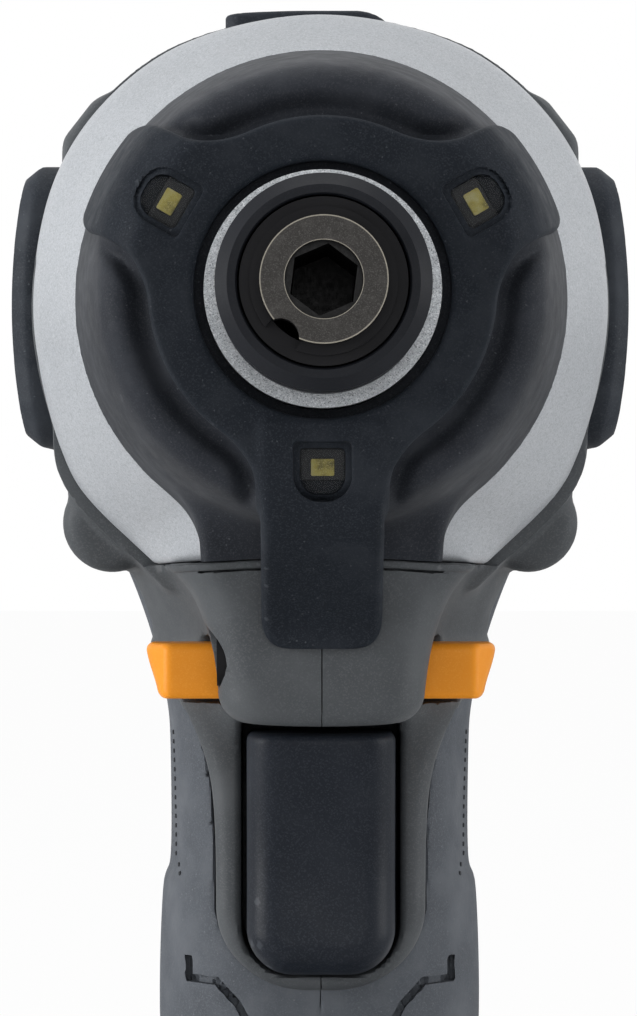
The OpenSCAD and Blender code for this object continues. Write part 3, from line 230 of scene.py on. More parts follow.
def net(field, low, high, step):
    """Vertices and quads of the surface where the field is zero, with its creases kept sharp."""
    axes = []
    for a, b in zip(low, high):
        count = math.ceil((b - a + 4 * step) / step / BLOCK) * BLOCK
        axes.append(a - 2 * step + step * np.arange(count))
    values = sampled(field, axes, step)
    shape = np.array(values.shape)
    strides = np.array([shape[1] * shape[2], shape[2], 1])
    cells, points, quads = [], [], []
    for axis in range(3):
        first = np.take(values, range(shape[axis] - 1), axis)
        second = np.take(values, range(1, shape[axis]), axis)
        at = np.argwhere((first < 0) != (second < 0))
        inside = first[tuple(at.T)]
        share = inside / (inside - second[tuple(at.T)])
        point = np.stack([a[i] for a, i in zip(axes, at.T)], 1)
        point[:, axis] += share * step
        u, v = (axis + 1) % 3, (axis + 2) % 3
        around = np.stack([at @ strides - i * strides[u] - j * strides[v] for i, j in CORNERS], 1)
        quads.append(np.where((inside < 0)[:, None], around[:, ::-1], around))
        cells.append(around)
        points.append(point)
    cells, points = np.vstack(cells), np.vstack(points)
    names, quads = np.unique(np.vstack(quads), return_inverse=True)
    quads = quads.reshape(-1, 4)
    place = np.searchsorted(names, cells).ravel()
    vertices = settled(field, points, place, len(names), step)
    return drawn_on(field, vertices, step * MOST_DRAW_SHARE), quads


def settled(field, points, place, count, step):
    """One vertex for each cell, where the tangent planes of its crossings meet."""
    normals = gradient(field, points)
    reach = np.einsum("ij,ij->i", normals, points)

    def summed(values):
        return np.bincount(place, np.repeat(values, 4), count)

    weight = summed(np.ones(len(points)))
    middle = np.stack([summed(points[:, i]) for i in range(3)], 1) / weight[:, None]
    square = np.empty((count, 3, 3))
    pull = np.empty((count, 3))
    for i in range(3):
        pull[:, i] = summed(normals[:, i] * reach)
        for j in range(3):
            square[:, i, j] = summed(normals[:, i] * normals[:, j])
    pull -= np.einsum("nij,nj->ni", square, middle)
    square += HOLD * weight[:, None, None] * np.eye(3)
    move = np.linalg.solve(square, pull[:, :, None])[:, :, 0]
    most = step * MOST_MOVE_SHARE
    return middle + np.clip(move, -most, most)


def add_piece(name, vertices, faces, body, slot, material, replaced=(), crease=CREASE):
    """A mesh in the tool's frame, as a piece that rides on a body."""
    mesh = bpy.data.meshes.new(name)
    mesh.from_pydata((vertices + ORIGIN) * MM, [], faces)
    mesh.update()
    mesh.shade_smooth()
    mesh.set_sharp_from_angle(angle=math.radians(crease))
    mesh.materials.append(material)
    piece = bpy.data.objects.new(name, mesh)
    bpy.context.scene.collection.objects.link(piece)
    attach(piece, body)
    if replaced:
        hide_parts(*replaced)


def field_piece(node, field, step, body, slot, material, margin):
    """A piece meshed from a field in the space of the CAD node that it replaces."""
    low, high = box_of(node)
    vertices, faces = net(field, low - margin, high + margin, step)
    add_piece(node + "_skin", vertices, faces, body, slot, material, [node])


def lathe_piece(node, profile, body, slot, material, segments=120):
    """A turned piece from a closed profile of radius and place along the drive axis."""
    angles = np.linspace(0, 2 * math.pi, segments, endpoint=False)
    c, s = np.cos(angles), np.sin(angles)
    rings = [np.stack([r * c, np.full(segments, y), r * s], 1) for r, y in profile]
    count = len(profile)
    faces = []
    for i in range(count):
        a, b = i * segments, (i + 1) % count * segments
        faces += [(a + k, a + (k + 1) % segments, b + (k + 1) % segments, b + k) for k in range(segments)]
    vertices = np.vstack(rings)
    add_piece(node + "_skin", vertices, faces, body, slot, material, [node], TURNED_CREASE)


# Materials
def linear(colour):
    """An sRGB colour of 0 to 255 as linear light, with its alpha."""
    parts = [c / 255 for c in colour]
    return [c / 12.92 if c <= 0.04045 else ((c + 0.055) / 1.055) ** 2.4 for c in parts] + [1]


def lighter(colour, share):
    """The colour moved towards white, or towards black where the share is negative."""
    goal = 255 if share > 0 else 0
    return [c + (goal - c) * abs(share) for c in colour]


class Finish:
    """A principled material that is built up from layers of detail. Sizes are in millimetres."""

    def __init__(self, name, colour, roughness, metallic=0.0, **sockets):
        self.material = bpy.data.materials.new(name)
        self.material.use_nodes = True
        self.tree = self.material.node_tree
        self.shader = self.tree.nodes["Principled BSDF"]
        self.colour = colour
        self.roughness = roughness
        basics = {"Base Color": linear(colour), "Roughness": roughness, "Metallic": metallic}
        for socket, value in {**basics, **sockets}.items():
            self.shader.inputs[socket.replace("_", " ")].default_value = value
        self.place = self.add("ShaderNodeTexCoord").outputs["Object"]
        self.paint = None
        self.height = None

    def add(self, kind, **settings):
        node = self.tree.nodes.new(kind)
        for key, value in settings.items():
            setattr(node, key, value)
        return node

    def link(self, output, socket):
        self.tree.links.new(output, socket)

    def worked(self, kind, operation, *values):
        """Result of a math node that takes outputs and plain numbers."""
        node = self.add(kind, operation=operation)
        for value, socket in zip(values, node.inputs):
            if isinstance(value, bpy.types.NodeSocket):
                self.link(value, socket)
            else:
                socket.default_value = value
        return node.outputs[1 if operation == "LENGTH" else 0]

    def noise(self, size, detail, stretch=(1, 1, 1)):
        """Cloudy values from 0 to 1 whose features have about that size."""
        mapping = self.add("ShaderNodeMapping")
        mapping.inputs["Scale"].default_value = stretch
        self.link(self.place, mapping.inputs["Vector"])
        node = self.add("ShaderNodeTexNoise")
        node.inputs["Scale"].default_value = 1 / (size * MM)
        node.inputs["Detail"].default_value = detail
        self.link(mapping.outputs["Vector"], node.inputs["Vector"])
        return node.outputs["Fac"]

    def flakes(self, size):
        """A random value from 0 to 1 for each small grain of that size."""
        node = self.add("ShaderNodeTexVoronoi")
        node.inputs["Scale"].default_value = 1 / (size * MM)
        self.link(self.place, node.inputs["Vector"])
        split = self.add("ShaderNodeSeparateColor")
        self.link(node.outputs["Color"], split.inputs["Color"])
        return split.outputs["Red"]

    def ranged(self, value, low, high, to_low=0.0, to_high=1.0):
        node = self.add("ShaderNodeMapRange")
        for socket, number in zip(("From Min", "From Max", "To Min", "To Max"), (low, high, to_low, to_high)):
            node.inputs[socket].default_value = number
        self.link(value, node.inputs["Value"])
        return node.outputs["Result"]

    def tint(self, value, low, high, colour, amount=1.0):
        """Mixes a colour in where the value runs from low to high."""
        mix = self.add("ShaderNodeMix", data_type="RGBA")
        if self.paint is None:
            mix.inputs["A"].default_value = linear(self.colour)
        else:
            self.link(self.paint, mix.inputs["A"])
        mix.inputs["B"].default_value = linear(colour)
        self.link(self.ranged(value, low, high, 0, amount), mix.inputs["Factor"])
        self.paint = mix.outputs["Result"]
        self.link(self.paint, self.shader.inputs["Base Color"])
        return self

    def mottle(self, size, share):
        """Uneven colour, lighter and darker by that share."""
        cloud = self.noise(size, 4)
        self.tint(cloud, 0.5, 0.72, lighter(self.colour, share))
        return self.tint(cloud, 0.5, 0.28, lighter(self.colour, -share))

    def speckle(self, size, share, rarity=0.75):
        """Fine light grains in the surface."""
        return self.tint(self.flakes(size), rarity, 1, lighter(self.colour, share))

    def worn(self, share, low=0.52, high=0.6):
        """Lighter outer edges."""
        edge = self.add("ShaderNodeNewGeometry").outputs["Pointiness"]
        return self.tint(edge, low, high, lighter(self.colour, share))

    def uneven(self, size, spread):
        """Gloss that changes over the surface."""
        value = self.ranged(self.noise(size, 4), 0.3, 0.7, self.roughness - spread, self.roughness + spread)
        self.link(value, self.shader.inputs["Roughness"])
        return self

    def relief(self, value, depth):
        """Bumps of that depth, on top of those already there."""
        bump = self.add("ShaderNodeBump")
        bump.inputs["Strength"].default_value = 1
        bump.inputs["Distance"].default_value = depth * MM
        self.link(value, bump.inputs["Height"])
        if self.height:
            self.link(self.height, bump.inputs["Normal"])
        self.height = bump.outputs["Normal"]
        self.link(self.height, self.shader.inputs["Normal"])
        return self

    def grain(self, size, depth):
        return self.relief(self.noise(size, 2), depth)


def moulded(name, colour, roughness=0.5, grain=0.3, depth=0.012, mottle=0.05, shine=0.14):
    """Moulded plastic with a fine spark texture."""
    finish = Finish(name, colour, roughness, Specular_IOR_Level=shine).mottle(9, mottle)
    return finish.speckle(0.14, 0.06, 0.6).worn(0.12).uneven(3, 0.06).grain(grain, depth).material


def rubber(name, colour, roughness=0.6, grain=0.4, depth=0.02, mottle=0.07, shine=0.1, sheen=0.0):
    """Soft rubber with dust in its grain."""
    finish = Finish(name, colour, roughness, Specular_IOR_Level=shine, Sheen_Weight=sheen)
    finish.mottle(7, mottle).speckle(0.13, 0.06, 0.6).speckle(0.16, 0.16, 0.994)
    return finish.worn(0.1, 0.55, 0.62).uneven(2, 0.07).grain(grain, depth).material


def metal(name, colour, roughness, scratch=0.25, depth=0.006):
    """Machined metal with turning marks."""
    finish = Finish(name, colour, roughness, 1.0).mottle(3, 0.1).uneven(1.5, 0.08)
    return finish.relief(finish.noise(scratch, 2, (1, 0.15, 1)), depth).material


def cast(name, colour, roughness=0.45):
    """Cast metal with a sparkling grain."""
    finish = Finish(name, colour, roughness, 0.6).speckle(0.12, 0.4, 0.6).speckle(0.1, -0.35, 0.7)
    return finish.uneven(1, 0.1).grain(0.18, 0.03).material


def metallic_paint(name, colour, roughness=0.45):
    """Silver paint with fine flakes."""
    finish = Finish(name, colour, roughness, 0.2).mottle(14, 0.04).speckle(0.13, 0.18, 0.5)
    return finish.speckle(0.15, -0.1, 0.6).uneven(4, 0.05).grain(0.3, 0.006).material


# Painted shade: the anvil turns almost black from about a millimetre behind its front, where it lies in the
# shade of the collar
DEEP_SHADE_COLOUR, DEEP_SHADE_AT = (5, 5, 6), (0.2, 1.1)
# Painted highlight: bright rings on the anvil's turned front edges, where light would catch them
EDGE_HIGHLIGHT_COLOUR, EDGE_HIGHLIGHT_SHARE, EDGE_HIGHLIGHT_CORE, EDGE_HIGHLIGHT_AT = (184, 178, 164), 0.55, 0.4, (0.5, 0.3)


def steel_with_painted_light(name, colour, axis_at, edges):
    """Dark steel with painted light: painted highlights on its turned edges, at those radii about an axis
    along y, near the front, and painted shade further back.
    """
    finish = Finish(name, colour, 0.46, 0.3, Specular_IOR_Level=0.3)
    finish.mottle(1.5, 0.06).speckle(0.09, 0.12, 0.6)
    vector = "ShaderNodeVectorMath"
    shift = finish.worked(vector, "SUBTRACT", finish.place, axis_at)
    flat = finish.worked(vector, "MULTIPLY", shift, (1 / MM, 0, 1 / MM))
    deep = finish.add("ShaderNodeSeparateXYZ")
    finish.link(shift, deep.inputs["Vector"])
    # Painted shade on the anvil behind its front
    finish.tint(deep.outputs["Y"], DEEP_SHADE_AT[0] * MM, DEEP_SHADE_AT[1] * MM, DEEP_SHADE_COLOUR)
    length = finish.worked(vector, "LENGTH", flat)
    # A painted highlight ring at each radius, only near the front
    for radius, width in edges:
        off = finish.worked("ShaderNodeMath", "SUBTRACT", length, radius)
        size = finish.worked("ShaderNodeMath", "ABSOLUTE", off)
        near = finish.ranged(size, width, width * EDGE_HIGHLIGHT_CORE)
        front = finish.ranged(deep.outputs["Y"], EDGE_HIGHLIGHT_AT[0] * MM, EDGE_HIGHLIGHT_AT[1] * MM)
        edge = finish.worked("ShaderNodeMath", "MULTIPLY", near, front)
        finish.tint(edge, 0, 1, EDGE_HIGHLIGHT_COLOUR, EDGE_HIGHLIGHT_SHARE)
    return finish.uneven(0.6, 0.08).grain(0.15, 0.01).material


HOUSING = moulded("housing_plastic", (76, 79, 82))
SILVER = metallic_paint("silver_paint", (172, 176, 181))
BOOT = rubber("boot_rubber", (39, 42, 48), sheen=0.05)
LAMP = rubber("lamp_plastic", (34, 38, 44), 0.55, 0.35, 0.015, 0.05, 0.05)
TRIGGER = moulded("trigger_plastic", (32, 36, 43), 0.4, 0.5, 0.006, 0.03, 0.1)
ORANGE = moulded("selector_orange", (244, 152, 40), 0.4, 0.6, 0.005, 0.03)
GRIP = rubber("grip_rubber", (88, 92, 98), 0.66, 0.45, 0.05, 0.09)
PAD = rubber("pad_rubber", (46, 50, 56), 0.6)
BLACK = moulded("black_plastic", (42, 44, 47), 0.45)
PACK = moulded("pack_plastic", (52, 55, 59), 0.5)
STEEL = metal("bright_steel", (196, 198, 200), 0.26)
DARK_STEEL = metal("dark_steel", (112, 110, 106), 0.34)
COLLAR = moulded("black_steel", (12, 14, 19), 0.45, 0.4, 0.004, 0.06, 0.08)
CLIP = moulded("blued_steel", (6, 6, 8), 0.5, 0.4, 0.004, 0.06, 0.05)
# The anvil's material holds painted shade and painted highlights
ANVIL = steel_with_painted_light("steel_with_painted_light", (44, 42, 40), ORIGIN * MM, [(6.45, 0.1), (3.98, 0.08)])
# Painted shade: the nubs are coloured much darker than the grip rubber, as small shaded notches would look
NUB_PAINTED_SHADE = moulded("grip_nub", (30, 32, 36), 0.6)
SPRING = metal("spring_steel", (150, 152, 156), 0.3)
BRONZE = metal("bronze", (176, 128, 70), 0.35)
CASE = cast("case_alloy", (166, 170, 174))
BRASS = metal("contact_brass", (214, 176, 96), 0.3)
COPPER = metal("copper_wire", (186, 108, 62), 0.35, 0.5, 0.05)
MAGNET = metal("magnet", (120, 122, 126), 0.4)
BOARD = moulded("circuit_board", (36, 74, 48), 0.35)
LAMP_BOARD = moulded("lamp_board", (34, 36, 39), 0.4)
WHITE = moulded("white_plastic", (222, 222, 216), 0.45)
CHIP = (Finish("lamp_chip", (206, 192, 92), 0.5).mottle(1.6, 0.4).speckle(0.1, 0.2).grain(0.15, 0.01)
        .material)
LENS = (Finish("lens", (34, 37, 41), 0.2, Alpha=0.16, Specular_IOR_Level=0.2).uneven(1, 0.06)
        .grain(0.8, 0.004).material)
CELL = moulded("cell_wrap", (46, 108, 122), 0.4)


# Sizes of the nose, in millimetres
RING_Y = box_of("lamp_ring")[0][1]
BOOT_LOW, BOOT_HIGH = box_of("nose_boot")
SHROUD_LOW, SHROUD_HIGH = box_of("silver_shroud")
BOOT_Y, BOOT_END = BOOT_LOW[1], BOOT_HIGH[1]
SHROUD_Y, SHROUD_END = SHROUD_LOW[1], SHROUD_HIGH[1]
CHIN_TOP = SHROUD_LOW[2]
BOOT_R = 27.3
CASE_R = 26.1
BAND_R = 18.4
RING_BORE_R = 13.6
LAMP_R = 18.7
LAMP_ANGLES = (30, 150, 270)
LAMP_ARMS = LAMP_ANGLES[:2]
GAP = 0.1
# The boot's outline as radius and place behind its front
DOME = smooth_line([(BAND_R, 0), (21.4, 0.35), (23.7, 2.4), (25.4, 9.5),
                    (BOOT_R, BOOT_END - BOOT_Y)], 6)
DOME_POINTS = [(0, BOOT_Y), *[(r, BOOT_Y + y) for r, y in DOME], (0, BOOT_END)]
CASE_POINTS = [(0, 23.5), (12.6, 23.5), (12.6, 27.2), (24.1, 39.2), (CASE_R, 44.2), (CASE_R, 66),
               (0, 66)]
# Half width and height of the boot's skirt above the chin
SKIRT_EDGE = [(13.7, -20), (13.4, -25.8), (12.9, -33)]
SKIRT = [*SKIRT_EDGE, *[(-x, z) for x, z in SKIRT_EDGE[::-1]]]
SKIRT_Y, SKIRT_FLOW, SKIRT_STEP, BOOT_FLOW = 37.4, 2.5, 4, 4
CROWN = 1.016
CHIN_RISE, CHIN_SINK, CHIN_REACH = 0.35, 0.85, 18
# Half width and height of the shroud beside the skirt
WING_EDGE = smooth_line([(32.55, -3.6), (31.77, -8.6), (30.8, -12.7), (29.5, -16.8), (27.6, -20.9),
                         (23.9, -24.9), (19.6, -28.7), (17.2, -31)], 4)
WING = [(12, 4), *WING_EDGE, *[(-x, z) for x, z in WING_EDGE[::-1]], (-12, 4)]
# Radius of the shroud by the angle above the horizontal
SHROUD_ROWS = smooth_line([(-90, 32.75), (0, 32.75), (8, 32.85), (16, 33.2), (26, 33.75), (36, 34.05),
                           (46, 34.1), (58, 34.05), (66, 33.7), (74, 33.35), (82, 33.2), (90, 33.2)], 5)
CONE_SLOPE = 2.16
SHROUD_BORE_R = SHROUD_HIGH[0] - 2.4
SHROUD_ROOM = [(0, 40), (CASE_R, 40), (CASE_R, 49.5), (SHROUD_BORE_R, 56.5), (SHROUD_BORE_R, 64), (0, 64)]
ARM_LEN, ARM_W, ARM_CORNER, ARM_FILLET = 28.4, 13.2, 3.6, 4
# Depth, place outside the lamp ring and width of the boot's valley, and the radii where it ends
VALLEY, VALLEY_AT, VALLEY_W, VALLEY_END = 1.5, 1, 1.3, (21.5, 25)


def crowned(p):
    """The point as seen by round forms whose upper half is a little taller."""
    return p[0], p[1], p[2] / np.where(p[2] > 0, CROWN, 1)


def chin_top(x):
    """Height of the line between the nose and the chin, which sinks towards its ends."""
    return CHIN_TOP + CHIN_RISE - CHIN_SINK * (x / CHIN_REACH) ** 2


def boot_outline(p, smaller=0.0):
    """Front outline of the boot: a disc that flows into a skirt above the chin."""
    x, _, z = crowned(p)
    return soft_either(np.hypot(x, z) - BOOT_R + smaller, polygon(x, z, SKIRT), SKIRT_FLOW)


def dome(p):
    """The boot without its skirt."""
    return turned(crowned(p), DOME_POINTS)


def plate_outline(p):
    """Front outline of the lamp ring without its tongue's lower end."""
    outline = np.hypot(p[0], p[2]) - BAND_R
    for angle in LAMP_ARMS:
        u, _, w = at_angle(p, angle)
        outline = either(outline, rect(u - ARM_LEN / 2, w, ARM_LEN, ARM_W, ARM_CORNER), ARM_FILLET)
    root = rect(p[0], p[2] + TONGUE_ROOT / 2, TONGUE_W, TONGUE_ROOT, 1)
    return either(outline, root, ARM_FILLET)


def nose_boot(p):
    skirt = both(boot_outline(p, SKIRT_STEP), between(p[1], SKIRT_Y, BOOT_END), 1.2)
    skirt = both(skirt, p[2] + BAND_R, 1)
    inner = 1 - eased(np.hypot(p[0], p[2]), *VALLEY_END)
    valley = VALLEY * inner * np.exp(-(((plate_outline(p) - VALLEY_AT) / VALLEY_W) ** 2))
    body = soft_either(dome(p) + valley, skirt, BOOT_FLOW)
    body = both(body, both(p[1] - BOOT_END, chin_top(p[0]) - p[2]))
    return without(body, turned(p, CASE_POINTS))


def shroud_outline(p):
    """Front outline of the shroud: round, with fuller upper corners and wings beside the skirt."""
    x, _, z = p
    angle = np.degrees(np.arctan2(z, np.abs(x)))
    return either(np.hypot(x, z) - follow(angle, SHROUD_ROWS, 1), polygon(x, z, WING))


def silver_shroud(p):
    step = np.maximum(boot_outline(p), 0)
    front = (SHROUD_Y + CONE_SLOPE * step - p[1]) / math.hypot(1, CONE_SLOPE)
    outline = both(shroud_outline(p), chin_top(p[0]) - p[2], 0.4)
    body = both(both(outline, p[1] - SHROUD_END, 0.3), front, 1)
    return without(body, turned(p, SHROUD_ROOM))


# Lamp ring: band, two arms over the boot's shoulder and a tongue down to the chin
ARM_END_Y = 40.9
# How far the ring stands out of the dome, and how that falls off between two radii
RING_PROUD, RING_DROP, RING_DROP_AT = 3.5, 2.4, (19.8, 25)
TONGUE_W, TONGUE_ROOT, TONGUE_BOTTOM, TONGUE_CORNER = 13.7, 30, -38.6, 3.8
PLATE_BOTTOM = TONGUE_BOTTOM * 0.6
# Side view of the tongue as place along the axis and height
TONGUE_SIDE = smooth_line([(21, -14.3), (21, -18.5), (21.8, -21.6), (24.1, -26.1), (31.2, -32),
                           (35.6, -36.1), (36.4, TONGUE_BOTTOM)], 4)
TONGUE_BACK = [(37.8, TONGUE_BOTTOM), (37.8, -34.7), (33.2, -30.5), (27.1, -25.9), (25.1, -14.3)]
TONGUE_PROFILE = [*TONGUE_SIDE, *TONGUE_BACK]
WINDOW_W, WINDOW_IN, WINDOW_OUT, WINDOW_CORNER = 4.8, 2, 2.9, 2
BOARD_Y = box_of("lamp_board")[0][1]
BOARD_R, BOARD_TAB, BOARD_TAB_AT = (14.5, 17.5), (6, 6.4), 17
FRAME_W, FRAME_DEPTH = 0.7, 0.55


def window(p, angle, grow=0.0):
    """Outline of a lamp window: square towards the axis and round at its outer end."""
    u, _, w = at_angle(p, angle)
    outer = both(np.abs(w) - WINDOW_W / 2 - grow, u - LAMP_R - WINDOW_OUT - grow, WINDOW_CORNER + grow)
    return both(outer, LAMP_R - WINDOW_IN - grow - u, 0.6)


def board_room(p):
    """Pocket for the lamp board: a band with a tab behind each window."""
    r = np.hypot(p[0], p[2])
    room = between(r, BOARD_R[0] - GAP, BOARD_R[1] + GAP)
    for angle in LAMP_ANGLES:
        u, _, w = at_angle(p, angle)
        tab = rect(u - BOARD_TAB_AT, w, BOARD_TAB[0] + 2 * GAP, BOARD_TAB[1] + 2 * GAP, GAP)
        room = either(room, tab)
    return both(room, BOARD_Y - GAP - p[1])


def lamp_ring(p):
    x, y, z = p
    r = np.hypot(x, z)
    outline = plate_outline(p)
    shell = dome(p)
    proud = RING_PROUD - RING_DROP * eased(r, *RING_DROP_AT)
    plate = both(both(outline, shell - proud, 0.55), y - ARM_END_Y, 0.8)
    plate = both(both(plate, GAP - shell), PLATE_BOTTOM - z)
    tongue = both(polygon(y, z, TONGUE_PROFILE), np.abs(x) - TONGUE_W / 2, 1.4)
    front = rect(x, z - TONGUE_BOTTOM / 2, TONGUE_W, -TONGUE_BOTTOM, TONGUE_CORNER)
    tongue = both(both(tongue, front, 0.9), GAP - shell)
    body = either(plate, tongue, 1.5)
    body = without(body, r - RING_BORE_R, 0.5)
    for angle in LAMP_ANGLES:
        body = without(body, both(window(p, angle), y - BOARD_Y), 0.2)
        frame_room = both(window(p, angle, FRAME_W), proud - FRAME_DEPTH - shell)
        body = without(body, frame_room, 0.2)
    return without(body, board_room(p))


LENS_Y, LENS_T, LENS_GAP = RING_Y + 1, 0.5, 0.05
CHIP_LOW, CHIP_HIGH = box_of("lamp_chips")
CHIP_SIZE = (1.8, 2.5)


def lamp_lenses(p):
    body = np.minimum.reduce([window(p, angle, -LENS_GAP) for angle in LAMP_ANGLES])
    return both(body, between(p[1], LENS_Y, LENS_Y + LENS_T), 0.15)


def lamp_chips(p):
    arms = [at_angle(p, angle) for angle in LAMP_ANGLES]
    body = np.minimum.reduce([rect(u - LAMP_R, w, *CHIP_SIZE, 0.15) for u, _, w in arms])
    return both(body, between(p[1], CHIP_LOW[1], CHIP_HIGH[1]))


# Bit collar: its outline as radius and place along the axis
SHANK_R, SHANK_GAP = 6.5, 0.05
COLLAR_LOW, COLLAR_HIGH = box_of("bit_collar")
COLLAR_R, COLLAR_FRONT, COLLAR_BACK = COLLAR_HIGH[0], COLLAR_LOW[1], COLLAR_HIGH[1]
MOUTH_R, MOUTH_BEVEL, MOUTH_LEN = 8.8, (0.2, 0.25), 7.7
NOSE_R, NOSE_LEN, COLLAR_BEVEL = 9.85, 1.4, 0.4
GROOVES, GROOVE_AT, GROOVE_PITCH, GROOVE_LEN, GROOVE_DEEP, GROOVE_SLOPE = 3, 3.2, 2.4, 1.2, 0.5, 0.3
SPRING_ROOM_R, SPRING_ROOM_LEN = 7.85, 2.9
COLLAR_PROFILE = [(MOUTH_R, COLLAR_FRONT + MOUTH_BEVEL[1]), (MOUTH_R + MOUTH_BEVEL[0], COLLAR_FRONT),
                  (NOSE_R, COLLAR_FRONT), (COLLAR_R, COLLAR_FRONT + NOSE_LEN)]
for k in range(GROOVES):
    at = COLLAR_FRONT + GROOVE_AT + GROOVE_PITCH * k
    COLLAR_PROFILE += [(COLLAR_R, at), (COLLAR_R - GROOVE_DEEP, at + GROOVE_SLOPE),
                       (COLLAR_R - GROOVE_DEEP, at + GROOVE_LEN - GROOVE_SLOPE), (COLLAR_R, at + GROOVE_LEN)]
COLLAR_PROFILE += [(COLLAR_R, COLLAR_BACK - COLLAR_BEVEL), (COLLAR_R - COLLAR_BEVEL, COLLAR_BACK),
                   (SPRING_ROOM_R, COLLAR_BACK), (SPRING_ROOM_R, COLLAR_BACK - SPRING_ROOM_LEN),
                   (SHANK_R + SHANK_GAP, COLLAR_BACK - SPRING_ROOM_LEN),
                   (SHANK_R + SHANK_GAP, COLLAR_FRONT + MOUTH_LEN), (MOUTH_R, COLLAR_FRONT + MOUTH_LEN)]


# Housing
PAD_LOW, PAD_HIGH = box_of("side_pad_right")
HOUSING_LOW, HOUSING_HIGH = box_of("housing_right")
# The barrel is a little slimmer than that of the CAD model, and as wide inside
BARREL_TRIM = 0.5
BARREL_Y, BARREL_R, TAIL_END = 62.5, HOUSING_HIGH[2] - BARREL_TRIM, HOUSING_HIGH[1]
TAIL = smooth_line([(BARREL_R, 104), (BARREL_R - 0.3, 112), (31.6, 119.5), (28.2, 125.8), (23.5, 129.1),
                    (17, TAIL_END)], 5)
BARREL_POINTS = [(0, BARREL_Y), (BARREL_R, BARREL_Y), *TAIL, (0, TAIL_END)]
WALL = 2.6
SEAM = 0.015
# The barrel's front edge round the shroud: how far it stands out below and above, and its length
FLANGE, FLANGE_FADE, BROW, BROW_FADE = 1.3, (12, 19), 0.4, (14, 26)
FLANGE_START, FLANGE_LEN, FLANGE_MORE, FLANGE_MORE_AT = -3, 2.7, 6.3, (17, 20)
UPPER_BOSS = {"angle": 38, "at": 29.9, "size": (10.8, 10), "corner": 3}
LOWER_BOSS = {"at": (24, -24.7), "r": 5.7, "back": 1.2}
BOSS_END = 96
# Rows of the handle: height, half width, half depth and place of the middle
HANDLE = smooth_line([(-18, 28.4, 34, 86), (-25, 25.4, 31.6, 86), (-31.6, 22.3, 28.6, 86),
                      (-38.8, 19.8, 25.4, 86), (-46, 18.2, 23.5, 86), (-52, 17.8, 22.5, 86.1),
                      (-64.2, 17.8, 21.8, 86.7),
                      (-68.6, 18.75, 21.7, 87), (-83, 19.15, 21.5, 87.8), (-99.6, 18.4, 21.2, 89.2),
                      (-111, 18.4, 21.8, 89.9), (-118, 20.6, 24.4, 89.9), (-124, 23.4, 27.2, 89.9)], 6)[::-1]
SQUARENESS = 2.6
GRIP_T = 1.5
CHIN_Y, CHIN_BOTTOM, CHIN_BACK, CHIN_SPAN = 38, -47.2, 80, 20
# Height and half width of the chin
CHIN_ROWS = smooth_line([(-27, 18.4), (-29.5, 16.6), (-33, 14), (-39, 12), (-48, 10.9)], 5)[::-1]
CHIN_PLAN_R, CHIN_SAG, CHIN_FLOW = 5, 0.9, 9
RIM_H, RIM_PROUD, RIM_GROOVE, RIM_FADE, RIM_T, RIM_END = 0.9, 0.35, 0.2, (13.2, 14), 2.4, 60
CHEEK_Y, CHEEK_BACK, CHEEK_R, CHEEK_SLOPE = 56, 74, 9.5, 0.9
CHEEK_TOP, CHEEK_BOTTOM = -41, -77.8
CHEEK_FLOW, CHEEK_FLOW_MORE, CHEEK_FLOW_AT = 0.5, 6, (-58, -46)
# Half width of the guard, and higher up the front edge of the rubber on the neck
CHEEK_ROWS = smooth_line([(-20, 22), (-27, 20), (-33, 18.4), (-39.2, 17), (-45.4, 15.4), (-48.8, 14),
                          (-53, 12.7), (-58, 12.1), (-66, 11.9), (-84, 11.9)], 5)[::-1]
TRIGGER_LOW, TRIGGER_HIGH = box_of("trigger")
TRIGGER_W, TRIGGER_DROP = TRIGGER_HIGH[0] - TRIGGER_LOW[0], 0.6
TRIGGER_TOP, TRIGGER_BOTTOM = TRIGGER_HIGH[2] - 1, TRIGGER_LOW[2] - TRIGGER_DROP
TRIGGER_Z = (TRIGGER_TOP + TRIGGER_BOTTOM) / 2
TRIGGER_R, TRIGGER_GAP, TRIGGER_ROOM = 5.2, 0.65, (40, 70)
SELECTOR_Y, SELECTOR_Z = 53, -41.2
SELECTOR_DEPTH, SELECTOR_H, SELECTOR_GAP = 8.5, 6.2, 0.6
FOOT_Y, FOOT_END, FOOT_W, FOOT_R = HOUSING_LOW[1], 123, 64, 10
FOOT_TOP, FOOT_BOTTOM, FOOT_FLOW = -117.4, HOUSING_LOW[2], 7
RAIL_W, RAIL_LIP_W, RAIL_TOP, RAIL_LIP_TOP, RAIL_END = 52, 4, -124.4, -133.4, 99.9
TERMINAL_W, TERMINAL_END, TERMINAL_BOTTOM = 36.2, 112, -132.5
# Screws as place along the axis, height and half the width of the boss
SCREWS = [(43.2, -39.4, 11.5), (95, -78, 13), (76, -84, 10.5), (117.7, 26.5, 7.5), (117.7, -26.5, 7.5),
          (117.5, -128.9, 24)]
SCREW_HEAD_R = 3.5
VENT_Y, VENT_W, VENT_H, VENT_FLOOR_R = (103.6, 107.4, 111.2, 115), 2, 24, 31.4
INSERT_Y, INSERT_Z, INSERT_R, INSERT_DEEP = 51, -120.9, 2.5, 24
HANDLE_ROOM_TOP = -20
GRIP_TOP, GRIP_BOTTOM, GRIP_FRONT, GRIP_GAP = -26.5, -113, 84, 0.25
NECK_PROUD, NECK_FADE, NECK_EDGE_Y, NECK_EDGE_OPEN, NECK_EDGE_FADE = 0.5, (-66, -52), 72, 40, (43, 50)
GRIP_LINE_HALF, GRIP_LINE_DEEP = 0.45, 1
# Lines sunk in the front of the grips, as half width and height
GRIP_LINE = [(15.3, -75.6), (15.3, -77.8), (12, -77.9), (9.6, -80.4), (7.6, -84), (7.6, -104)]


